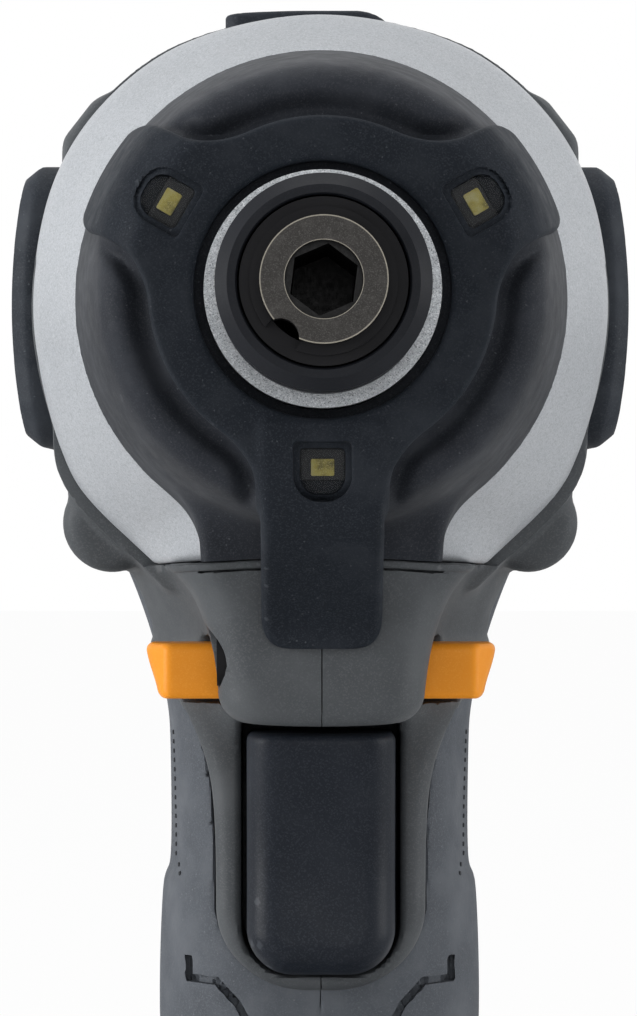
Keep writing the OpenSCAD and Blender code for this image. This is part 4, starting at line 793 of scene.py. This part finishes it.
def handle(p, inset=0.0):
    """The handle with its rubber: rounded squares that change with the height."""
    x, y, z = p
    w = follow(z, HANDLE, 1) - inset
    d = follow(z, HANDLE, 2) - inset
    back = y - follow(z, HANDLE, 3)
    around = (np.abs(x / w) ** SQUARENESS + np.abs(back / d) ** SQUARENESS) ** (1 / SQUARENESS)
    side = (1 - 1 / np.maximum(around, 0.05)) * np.maximum(np.hypot(x, back), 0.05 * w)
    return both(side, between(z, HANDLE[0, 0], HANDLE[-1, 0]))


def barrel(p):
    """The barrel with its four bosses."""
    body = both(turned(p, BARREL_POINTS), BARREL_Y - p[1], 1)
    near = (np.abs(p[0]), p[1], p[2])
    u, _, w = at_angle(near, UPPER_BOSS["angle"])
    along = between(p[1], BARREL_Y, BOSS_END)
    upper = rect(u - UPPER_BOSS["at"], w, *UPPER_BOSS["size"], UPPER_BOSS["corner"])
    upper = both(upper, along, 2)
    x, z = LOWER_BOSS["at"]
    lower = both(np.hypot(near[0] - x, p[2] - z) - LOWER_BOSS["r"], along + LOWER_BOSS["back"], 2.2)
    return either(either(body, upper, 0.8), lower, 0.8)


def chin_plan(p):
    """The chin seen from above, at the height of each point."""
    width = 2 * follow(p[2], CHIN_ROWS, 1)
    return rect(p[0], p[1] - (CHIN_Y + CHIN_BACK) / 2, width, CHIN_BACK - CHIN_Y, CHIN_PLAN_R)


def chin_rim(p):
    """A raised rim along the top of the chin, with a groove below it."""
    top = chin_top(p[0]) - GAP
    rim = both(chin_plan(p) - RIM_PROUD, between(p[2], top - RIM_H, top), 0.3)
    return both(both(rim, -chin_plan(p) - RIM_T), p[1] - RIM_END)


def chin(p):
    x, _, z = p
    top = chin_top(x) - GAP
    below_rim = (RIM_H + RIM_GROOVE) * (1 - eased(np.abs(x), *RIM_FADE))
    body = both(chin_plan(p), z - top + below_rim)
    body = either(body, both(chin_plan(p) + RIM_T / 2, z - top))
    return both(body, CHIN_BOTTOM + CHIN_SAG * (x / CHIN_ROWS[0, 1]) ** 2 - z, 2.6)


def cheek_outline(p):
    """Front outline of the trigger guard: it flares into the neck and is round below the trigger."""
    side = (np.abs(p[0]) - follow(p[2], CHEEK_ROWS, 1)) * CHEEK_SLOPE
    return both(side, CHEEK_BOTTOM - p[2], CHEEK_R)


def foot(p):
    x, y, z = p
    plan = rect(x, y - (FOOT_Y + FOOT_END) / 2, FOOT_W, FOOT_END - FOOT_Y, FOOT_R)
    return both(both(plan, z - FOOT_TOP, 1.2), FOOT_BOTTOM - z, 0.6)


def housing_outer(p):
    """The housing as a solid."""
    x, y, z = p
    neck = soft_either(handle(p) - NECK_PROUD * eased(z, *NECK_FADE), chin(p), CHIN_FLOW)
    flange = shroud_outline(p) - FLANGE * eased(-z, *FLANGE_FADE) - BROW * eased(z, *BROW_FADE)
    length = FLANGE_LEN + FLANGE_MORE * eased(-z, *FLANGE_MORE_AT)
    flange = both(flange, between(y, BARREL_Y + FLANGE_START, BARREL_Y + length), 0.8)
    body = either(either(neck, barrel(p), 0.8), flange, 1)
    cheeks = both(both(cheek_outline(p), CHEEK_Y - y, 2), between(z, CHEEK_BOTTOM, CHEEK_TOP))
    flow = CHEEK_FLOW + CHEEK_FLOW_MORE * eased(z, *CHEEK_FLOW_AT)
    body = soft_either(body, both(cheeks, y - CHEEK_BACK), flow)
    body = soft_either(body, foot(p), FOOT_FLOW)
    top = chin_top(np.clip(x, -CHIN_SPAN, CHIN_SPAN)) - GAP
    body = without(body, both(y - BARREL_Y, top - z), 0.3)
    return both(body, FOOT_BOTTOM - z)


def grip_region(p):
    """Where the rubber lies: behind the front edge, clear of the cheeks."""
    _, y, z = p
    neck_edge = NECK_EDGE_Y - NECK_EDGE_OPEN * eased(-z, *NECK_EDGE_FADE)
    region = either(both(-cheek_outline(p), neck_edge - y), GRIP_FRONT - y)
    return both(region, between(z, GRIP_BOTTOM, GRIP_TOP), 3)


def trigger_outline(p, grow=0.0):
    """Front outline of the trigger: square under the chin and round at the bottom."""
    side = np.abs(p[0]) - TRIGGER_W / 2 - grow
    return both(side, TRIGGER_BOTTOM - grow - p[2], TRIGGER_R + grow)


def selector_section(p, grow, corner):
    """Section of the selector, or of its slot."""
    depth, height = SELECTOR_DEPTH + 2 * grow, SELECTOR_H + 2 * grow
    return rect(p[1] - SELECTOR_Y, p[2] - SELECTOR_Z, depth, height, corner)


def housing(p):
    """The housing with its pockets, slots, holes and room."""
    x, y, z = p
    body = housing_outer(p)
    pocket = both(both(grip_region(p), -handle(p, GRIP_T)), -barrel(p))
    body = without(body, pocket)
    trigger_room = both(trigger_outline(p, TRIGGER_GAP), z - CHIN_BOTTOM)
    body = without(body, both(trigger_room, between(y, *TRIGGER_ROOM)), 0.8)
    body = without(body, selector_section(p, SELECTOR_GAP, 1), 0.3)
    for at_y, at_z, half in SCREWS:
        hole = np.hypot(y - at_y, z - at_z) - SCREW_HEAD_R
        body = without(body, both(hole, x + half - WALL), 0.3)
    rail = rect(x, z - (RAIL_TOP + RAIL_LIP_TOP) / 2, RAIL_W, RAIL_TOP - RAIL_LIP_TOP, 0.5)
    rail = either(rail, both(np.abs(x) - RAIL_W / 2 + RAIL_LIP_W, z - RAIL_TOP))
    body = without(body, both(rail, y - RAIL_END), 0.3)
    terminal = both(np.abs(x) - TERMINAL_W / 2, between(z, TERMINAL_BOTTOM, RAIL_TOP + 1))
    body = without(body, both(terminal, y - TERMINAL_END))
    bore = np.hypot(x, z) - CASE_R
    body = without(body, both(bore, y - BARREL_Y - WALL - 1))
    insert = np.hypot(y - INSERT_Y, z - INSERT_Z) - INSERT_R
    body = without(body, both(insert, INSERT_DEEP - np.abs(x)))
    for at in VENT_Y:
        slot = rect(y - at, z, VENT_W, VENT_H, VENT_W / 2)
        body = without(body, both(slot, VENT_FLOOR_R - np.hypot(x, z)), 0.3)
    barrel_room = turned(p, BARREL_POINTS) + WALL - BARREL_TRIM
    handle_room = both(handle(p, GRIP_T + WALL), between(z, RAIL_TOP + WALL, HANDLE_ROOM_TOP))
    return without(body, either(barrel_room, handle_room))


def left_half(field, seam=0.0):
    return lambda p: both(field(p), p[0] + seam)


def right_half(field, seam=0.0):
    return lambda p: both(field(p), seam - p[0])


def grip(p):
    body = both(handle(p), grip_region(p) + GRIP_GAP, 0.5)
    line = to_line(np.abs(p[0]), p[2], GRIP_LINE) - GRIP_LINE_HALF
    body = without(body, both(both(line, -handle(p, GRIP_LINE_DEEP)), p[1] - GRIP_FRONT))
    return both(body, -handle(p, GRIP_T - GAP))


# Trigger, selector, pads and bumper
TRIGGER_PLAN_R, FINGER_R, FINGER_DEPTH, FINGER_Z, FINGER_FLOW = 4, 40, 1.6, TRIGGER_Z - 1.4, 1.5
SELECTOR_LOW, SELECTOR_HIGH = box_of("selector")
SELECTOR_HALF = (SELECTOR_HIGH[0] - SELECTOR_LOW[0]) / 2
SELECTOR_TAPER, SELECTOR_TAPER_AT = 1.5, (-SELECTOR_Z - 3, -SELECTOR_Z + 3.4)
SELECTOR_BACK, SELECTOR_LEAN, SELECTOR_LEAN_SHARE = 2.3, 0.55, 0.88
PAD_MIDDLE, PAD_SIZE = (PAD_LOW[1] + PAD_HIGH[1]) / 2, PAD_HIGH - PAD_LOW
PAD_CURVE_R, PAD_CORNER, PAD_RISE, PAD_INSET, PAD_BEVEL = 75, 6, 0.4, 0.7, 1.6
PAD_LINE_IN, PAD_LINE_R, PAD_LINE_HALF, PAD_LINE_DEEP = 8, 4, 0.45, 0.5
BUMPER_LOW, BUMPER_HIGH = box_of("top_bumper")
BUMPER_DROP, BUMPER_TILT, BUMPER_CORNER, BUMPER_RIBS = 0.6, 0.45, 2, 4
# The bumper's slope at one end: how far in it starts, and its direction
BUMPER_SLOPE_AT, BUMPER_SLOPE = 2.4, (1.7 / 2.55, 1.9 / 2.55)
# Round grooves between ribs, and how far above the face their middle lies
RIB_R, RIB_RISE = 0.9, 0.2


def trigger(p):
    _, y, z = p
    finger = FINGER_R - np.hypot(y - TRIGGER_LOW[1] + FINGER_R - FINGER_DEPTH, z - FINGER_Z)
    front = -soft_either(y - TRIGGER_LOW[1], -finger, FINGER_FLOW)
    body = both(both(trigger_outline(p), front, TRIGGER_PLAN_R), z - TRIGGER_TOP, 0.9)
    return both(body, y - TRIGGER_HIGH[1])


def selector(p):
    reach = np.abs(p[0]) - SELECTOR_HALF
    across = reach + SELECTOR_TAPER * eased(-p[2], *SELECTOR_TAPER_AT)
    behind = p[1] - SELECTOR_Y + SELECTOR_DEPTH / 2
    front = (reach + SELECTOR_BACK - SELECTOR_LEAN * behind) * SELECTOR_LEAN_SHARE
    return both(both(selector_section(p, 0, 0.9), across, 0.9), front, 0.6)


def side_pad(p):
    x, y, z = np.abs(p[0]), p[1] - PAD_MIDDLE, p[2] - PAD_RISE
    _, length, height = PAD_SIZE
    outline = rect(y, z, length, height, PAD_CORNER)
    top = np.hypot(x - PAD_HIGH[0] + PAD_INSET + PAD_CURVE_R, z) - PAD_CURVE_R
    body = both(bevelled(outline, top, PAD_BEVEL), outline, 0.5)
    line = np.abs(rect(y, z, length - PAD_LINE_IN, height - PAD_LINE_IN, PAD_LINE_R)) - PAD_LINE_HALF
    body = without(body, both(line, -PAD_LINE_DEEP - top), 0.2)
    return both(body, BARREL_R + GAP - np.hypot(x, z))


def top_bumper(p):
    x, y, z = p
    low, high = BUMPER_LOW, BUMPER_HIGH - (0, 0, BUMPER_DROP)
    middle, size = (low + high) / 2, high - low
    ends = rect(x - middle[0], y - middle[1], size[0], size[1], BUMPER_CORNER)
    top = high[2] - BUMPER_TILT * np.clip((x - low[0]) / size[0] * 2 - 1, -1, 0) ** 2
    body = both(ends, z - top, 0.5)
    slope_x, slope_z = BUMPER_SLOPE
    body = both(body, (x - high[0] + BUMPER_SLOPE_AT) * slope_x + (z - high[2]) * slope_z, 1.5)
    for k in range(BUMPER_RIBS):
        at = low[1] + size[1] * (k + 1) / (BUMPER_RIBS + 1)
        body = without(body, np.hypot(y - at, z - top - RIB_RISE) - RIB_R, 0.2)
    return both(body, BARREL_R + GAP - np.hypot(x, z))


# Battery pack
TUB_LOW, TUB_HIGH = box_of("pack_tub")
PACK_HALF, PACK_MIDDLE = TUB_HIGH[0], (TUB_LOW[1] + TUB_HIGH[1]) / 2
PACK_LEN = TUB_HIGH[1] - TUB_LOW[1]
PACK_CORNER, PACK_WALL, PACK_TOP_R, PACK_FOOT_R, PACK_BEVEL = 9, 3, 2.2, 3, 0.5
PACK_TOP, PACK_SEAM = FOOT_BOTTOM - 0.3, TUB_HIGH[2]
RAIL_GAP = 0.3
RAIL_X, RAIL_NECK_X, RAIL_FRONT, RAIL_BACK = 25.7, 21.6, FOOT_Y + RAIL_GAP, 99.6
BUTTON_LOW, BUTTON_HIGH = box_of("release_right")
BUTTON_Y, BUTTON_LEN, BUTTON_TOP, BUTTON_H, BUTTON_GAP = 48, 24, -141.2, 7, 0.3
BUTTON_RIBS, BUTTON_RIB_PITCH = 5, 3.2
LATCH_LOW, LATCH_W, LATCH_T, LATCH_AT, LATCH_ROOM = 31.8, 8, 1.6, 35, 7.2
BLADE_X, BLADE_SLOT, BLADE_Y, BLADE_Z, BLADE_SLOT_H = (-13.5, -4.5, 4.5, 13.5), 1.8, 85.5, -128.4, 6.6
PACK_SCREW_X, PACK_SCREW_Y, PACK_HEAD_R, PACK_HEAD_DEEP = 34.8, 45, 2.6, 2.2
# Grooves on the sides of the tub: number, height of the first, pitch, half length, radius and place
TUB_GROOVES, TUB_GROOVE_AT, TUB_GROOVE_PITCH, TUB_GROOVE_HALF = 5, 6, 3, 30
TUB_GROOVE_R, TUB_GROOVE_OUT = 0.7, 0.1


def pack_outline(p, inset=0.0):
    width, length = 2 * (PACK_HALF - inset), PACK_LEN - 2 * inset
    return rect(p[0], p[1] - PACK_MIDDLE, width, length, PACK_CORNER - inset)


def button_face(p, grow=0.0):
    """Outline of a release button, or of its opening."""
    length, height = BUTTON_LEN + 2 * grow, BUTTON_H + 2 * grow
    return rect(p[1] - BUTTON_Y, p[2] - BUTTON_TOP + BUTTON_H / 2, length, height, 1.2)


def pack_lid(p):
    across, y, z = np.abs(p[0]), p[1], p[2]
    body = both(pack_outline(p), z - PACK_TOP, PACK_TOP_R)
    body = bevelled(body, PACK_SEAM - z, PACK_BEVEL)
    room = both(pack_outline(p, PACK_WALL), z - PACK_TOP + PACK_WALL)
    body = without(body, room)
    rail = both(across - RAIL_X, between(z, RAIL_LIP_TOP + RAIL_GAP, RAIL_TOP - RAIL_GAP), 0.6)
    neck = both(across - RAIL_NECK_X, between(z, PACK_TOP - 1, RAIL_TOP - 0.5))
    rail = either(rail, neck)
    rail = both(rail, between(y, RAIL_FRONT, RAIL_BACK), 0.6)
    body = either(body, rail)
    for at in BLADE_X:
        blade_slot = both(np.abs(p[0] - at) - BLADE_SLOT, np.abs(z - BLADE_Z) - BLADE_SLOT_H / 2)
        body = without(body, both(blade_slot, BLADE_Y - y))
    body = without(body, both(button_face(p, BUTTON_GAP), LATCH_LOW - across), 0.4)
    latch = rect(y - BUTTON_Y, across - LATCH_AT, LATCH_W + 2 * BUTTON_GAP, LATCH_ROOM, 0.3)
    return without(body, both(latch, BUTTON_TOP - 2 - z))


def pack_tub(p):
    x, y, z = p
    body = both(pack_outline(p), TUB_LOW[2] - z, PACK_FOOT_R)
    body = bevelled(body, z - PACK_SEAM + GAP, PACK_BEVEL)
    along = np.abs(y - PACK_MIDDLE) - TUB_GROOVE_HALF
    for k in range(TUB_GROOVES):
        at = TUB_LOW[2] + TUB_GROOVE_AT + TUB_GROOVE_PITCH * k
        groove = np.hypot(pack_outline(p) - TUB_GROOVE_OUT, z - at) - TUB_GROOVE_R
        body = without(body, both(groove, along), 0.2)
    room = both(pack_outline(p, PACK_WALL), TUB_LOW[2] + PACK_WALL - z, 1)
    body = without(body, room)
    for sx in (-1, 1):
        for sy in (-1, 1):
            hole = np.hypot(x - sx * PACK_SCREW_X, y - PACK_MIDDLE - sy * PACK_SCREW_Y) - PACK_HEAD_R
            body = without(body, both(hole, z - TUB_LOW[2] - PACK_HEAD_DEEP), 0.2)
    return body


def release_button(p):
    x, y, z = np.abs(p[0]), p[1], p[2]
    inner = BUTTON_LOW[0]
    body = both(both(button_face(p), x - PACK_HALF, 0.8), inner - x)
    for k in range(BUTTON_RIBS):
        at = BUTTON_Y + BUTTON_RIB_PITCH * (k - BUTTON_RIBS // 2)
        body = without(body, np.hypot(y - at, x - PACK_HALF - RIB_RISE) - RIB_R, 0.2)
    post = rect(y - BUTTON_Y, x - inner - LATCH_T / 2, LATCH_W, LATCH_T, 0.1)
    post = both(post, between(z, BUTTON_TOP - 1, BUTTON_HIGH[2]))
    flange = both(between(x, inner, inner + LATCH_T), between(z, BUTTON_TOP - BUTTON_H, BUTTON_TOP))
    flange = both(flange, between(y, BUTTON_LOW[1], BUTTON_HIGH[1]))
    return either(either(body, post), flange)


# Rows of nubs on the sides of the grips
NUB_R, NUB_SIDES, NUB_SINK, NUB_TAPER, NUB_PROBE = 0.3, 8, 0.05, 0.8, 0.1
NUB_TALL, NUB_FLAT = 0.25, 0.06
NUB_ROWS, NUB_HEIGHTS = np.arange(76.9, 98, 3.4), np.arange(-49.4, -63.9, -1.1)
# Nubs as place along and up the side, and height: the front row stands out most
NUBS = [(y, z, NUB_TALL if y == NUB_ROWS[0] else NUB_FLAT) for y in NUB_ROWS for z in NUB_HEIGHTS]
NUBS += [(75.4, -64.9, NUB_TALL), (74.6, -65.9, NUB_TALL)]


def handle_side(y, z):
    """Half width of the handle at a place on its side."""
    share = np.abs(y - follow(z, HANDLE, 3)) / follow(z, HANDLE, 2)
    return follow(z, HANDLE, 1) * (1 - share**SQUARENESS) ** (1 / SQUARENESS)


def grip_nubs(side):
    """Vertices and faces of the nubs of one grip."""
    vertices, faces = [], []
    angles = np.linspace(0, 2 * math.pi, NUB_SIDES, endpoint=False)
    up = np.array([0, 0, 1])
    for y, z, tall in NUBS:
        lean = (handle_side(y + NUB_PROBE, z) - handle_side(y - NUB_PROBE, z)) / (2 * NUB_PROBE)
        normal = np.array([1, -lean, 0]) / math.hypot(1, lean)
        across = np.array([-normal[1], normal[0], 0])
        middle = np.array([handle_side(y, z), y, z]) - NUB_SINK * normal
        base = len(vertices)
        for r, h in ((NUB_R, 0), (NUB_R * NUB_TAPER, tall * NUB_TAPER)):
            for a in angles:
                vertices.append(middle + r * (math.cos(a) * across + math.sin(a) * up) + h * normal)
        vertices.append(middle + tall * normal)
        for k in range(NUB_SIDES):
            n = (k + 1) % NUB_SIDES
            faces.append((base + k, base + n, base + NUB_SIDES + n, base + NUB_SIDES + k))
            faces.append((base + NUB_SIDES + k, base + NUB_SIDES + n, base + 2 * NUB_SIDES))
    vertices = np.array(vertices) * (side, 1, 1)
    return vertices, [f[::side] for f in faces]


# Pieces that stand for CAD nodes: node, field, grid step, body, material slot and material
SKINS = [
    ("lamp_ring", lamp_ring, 0.3, "housing", "lamp_plastic", LAMP),
    ("lamp_lenses", lamp_lenses, 0.25, "housing", "lens", LENS),
    ("lamp_chips", lamp_chips, 0.2, "housing", "lamp_chip", CHIP),
    ("nose_boot", nose_boot, 0.5, "housing", "boot_rubber", BOOT),
    ("silver_shroud", silver_shroud, 0.5, "housing", "silver_plastic", SILVER),
    ("housing_left", left_half(housing, SEAM), 0.6, "housing", "housing_plastic", HOUSING),
    ("housing_right", right_half(housing, SEAM), 0.6, "housing", "housing_plastic", HOUSING),
    ("grip_left", left_half(grip), 0.5, "housing", "grip_rubber", GRIP),
    ("grip_right", right_half(grip), 0.5, "housing", "grip_rubber", GRIP),
    ("trigger", trigger, 0.4, "trigger", "trigger_plastic", TRIGGER),
    ("selector", selector, 0.3, "selector", "selector_orange", ORANGE),
    ("side_pad_left", left_half(side_pad), 0.5, "housing", "pad_rubber", PAD),
    ("side_pad_right", right_half(side_pad), 0.5, "housing", "pad_rubber", PAD),
    ("top_bumper", top_bumper, 0.4, "housing", "pad_rubber", PAD),
    ("pack_lid", pack_lid, 0.8, "pack", "black_plastic", PACK),
    ("pack_tub", pack_tub, 0.8, "pack", "black_plastic", PACK),
    ("release_left", left_half(release_button), 0.4, "release_left", "button_orange", ORANGE),
    ("release_right", right_half(release_button), 0.4, "release_right", "button_orange", ORANGE),
]
# More room for pieces that reach past their CAD node
GRIP_MORE = GRIP_TOP - box_of("grip_left")[1][2]
ROOM = {"grip_left": GRIP_MORE, "grip_right": GRIP_MORE, "trigger": TRIGGER_DROP}
# Materials of the CAD nodes that stay as they are
FINISHES = {
    STEEL: ["detent_ball", "thrust_washer", "cam_balls", "planet_pins", "rotor_shaft",
            "front_bearing", "rear_bearing", "spindle_bearing"],
    DARK_STEEL: ["hammer", "spindle", "planet_gear_1", "planet_gear_2", "planet_gear_3", "ring_gear",
                 "stator"],
    CLIP: ["housing_screws", "pack_screws", "collar_clip", "collar_washer"],
    ANVIL: ["anvil"],
    SPRING: ["collar_spring", "hammer_spring", "trigger_spring"],
    BRONZE: ["anvil_bush"],
    CASE: ["impact_case"],
    LAMP_BOARD: ["lamp_board"],
    COPPER: ["stator_coils"],
    MAGNET: ["rotor"],
    BOARD: ["motor_board", "control_board"],
    BLACK: ["gear_plate", "fan", "trigger_switch", "terminal_block"],
    WHITE: ["switch_plunger", "reverse_lever"],
    BRASS: ["terminal_blades", "pack_contacts", "hook_inserts"],
    CELL: ["pack_cells"],
}
for material, nodes in FINISHES.items():
    for node in nodes:
        slots = frame["nodes"][node].data.materials
        slots.clear()
        slots.append(material)
RIM_BOX, RIM_STEP = ((-0.5, 36, CHIN_TOP - 3), (CHIN_SPAN + 0.5, RIM_END + 1, CHIN_TOP + 1)), 0.3
for name, half, side in (("left", left_half, -1), ("right", right_half, 1)):
    across = sorted(side * corner[0] for corner in RIM_BOX)
    low, high = [(x, *corner[1:]) for x, corner in zip(across, RIM_BOX)]
    rim = net(half(chin_rim, SEAM), low, high, RIM_STEP)
    add_piece(f"chin_rim_{name}", *rim, "housing", "housing_plastic", HOUSING)
lathe_piece("bit_collar", COLLAR_PROFILE[::-1], "collar", "dark_steel", COLLAR)
for node, field, step, body, slot, material in SKINS:
    field_piece(node, field, step, body, slot, material, MARGIN + ROOM.get(node, 0))
for name, side in (("left", -1), ("right", 1)):
    # The nubs carry painted shade in their darker colour
    add_piece(f"grip_nubs_{name}", *grip_nubs(side), "housing", "grip_rubber", NUB_PAINTED_SHADE)


# Stage, lights and camera
FLOOR_SIZE, FLOOR_COLOUR, FLOOR_GLOW, FLOOR_DROP = 12, (244, 244, 244), 0.97, 0.0002
CAMERA_PLACE = (-0.002825, -0.50485, 0.1526)
CAMERA_YAW = -0.296
CAMERA_LENS, SENSOR = 155.3, 36
AMBIENT = 0.19
# Soft boxes: place, size, power
LIGHTS = [((-1.2, -0.3, 0.2), 0.7, 15), ((1.2, -0.22, 0.16), 0.7, 8), ((0, -0.1, 1.35), 1, 8),
          ((0.1, -1.7, 0.5), 0.8, 4)]
AIM = (0, 0, 0.13)


def floor():
    """A pale card that the camera sees as almost white, and that still takes the shadow."""
    half = FLOOR_SIZE / 2
    mesh = bpy.data.meshes.new("floor")
    corners = [(-half, -half), (half, -half), (half, half), (-half, half)]
    mesh.from_pydata([(x, y, -FLOOR_DROP) for x, y in corners], [], [(0, 1, 2, 3)])
    plane = bpy.data.objects.new("floor", mesh)
    bpy.context.scene.collection.objects.link(plane)
    finish = Finish("floor_card", FLOOR_COLOUR, 0.9, Specular_IOR_Level=0.0)
    glow = finish.add("ShaderNodeEmission")
    mix = finish.add("ShaderNodeMixShader")
    seen = finish.ranged(finish.add("ShaderNodeLightPath").outputs["Is Camera Ray"], 0, 1, 0, FLOOR_GLOW)
    finish.link(seen, mix.inputs["Fac"])
    finish.link(finish.shader.outputs["BSDF"], mix.inputs[1])
    finish.link(glow.outputs["Emission"], mix.inputs[2])
    finish.link(mix.outputs["Shader"], finish.tree.nodes["Material Output"].inputs["Surface"])
    mesh.materials.append(finish.material)


def soft_light(place, size, power):
    light = bpy.data.lights.new("soft_box", "AREA")
    light.size = size
    light.energy = power
    lamp = bpy.data.objects.new("soft_box", light)
    lamp.location = place
    away = Vector(place) - Vector(AIM)
    lamp.rotation_euler = away.to_track_quat("Z", "Y").to_euler()
    bpy.context.scene.collection.objects.link(lamp)


def world():
    """White for the camera and mirrors, a plain pale light for the rest."""
    sky = bpy.data.worlds.new("studio")
    sky.use_nodes = True
    tree = sky.node_tree
    output = tree.nodes["World Output"]
    ambient = tree.nodes["Background"]
    ambient.inputs["Color"].default_value = (1, 1, 1, 1)
    ambient.inputs["Strength"].default_value = AMBIENT
    white = tree.nodes.new("ShaderNodeBackground")
    white.inputs["Color"].default_value = (1, 1, 1, 1)
    white.inputs["Strength"].default_value = 1
    path = tree.nodes.new("ShaderNodeLightPath")
    seen = path.outputs["Is Camera Ray"]
    for ray in ("Is Glossy Ray", "Is Transmission Ray"):
        most = tree.nodes.new("ShaderNodeMath")
        most.operation = "MAXIMUM"
        tree.links.new(seen, most.inputs[0])
        tree.links.new(path.outputs[ray], most.inputs[1])
        seen = most.outputs["Value"]
    mix = tree.nodes.new("ShaderNodeMixShader")
    tree.links.new(seen, mix.inputs["Fac"])
    tree.links.new(ambient.outputs["Background"], mix.inputs[1])
    tree.links.new(white.outputs["Background"], mix.inputs[2])
    tree.links.new(mix.outputs["Shader"], output.inputs["Surface"])
    bpy.context.scene.world = sky


def camera():
    lens = bpy.data.cameras.new("camera")
    lens.lens = CAMERA_LENS
    lens.sensor_width = SENSOR
    lens.clip_start = 0.01
    eye = bpy.data.objects.new("camera", lens)
    eye.location = CAMERA_PLACE
    eye.rotation_euler = (math.pi / 2, 0, math.radians(CAMERA_YAW))
    bpy.context.scene.collection.objects.link(eye)
    bpy.context.scene.camera = eye


floor()
for place, size, power in LIGHTS:
    soft_light(place, size, power)
world()
camera()
bpy.context.scene.view_settings.view_transform = "Standard"
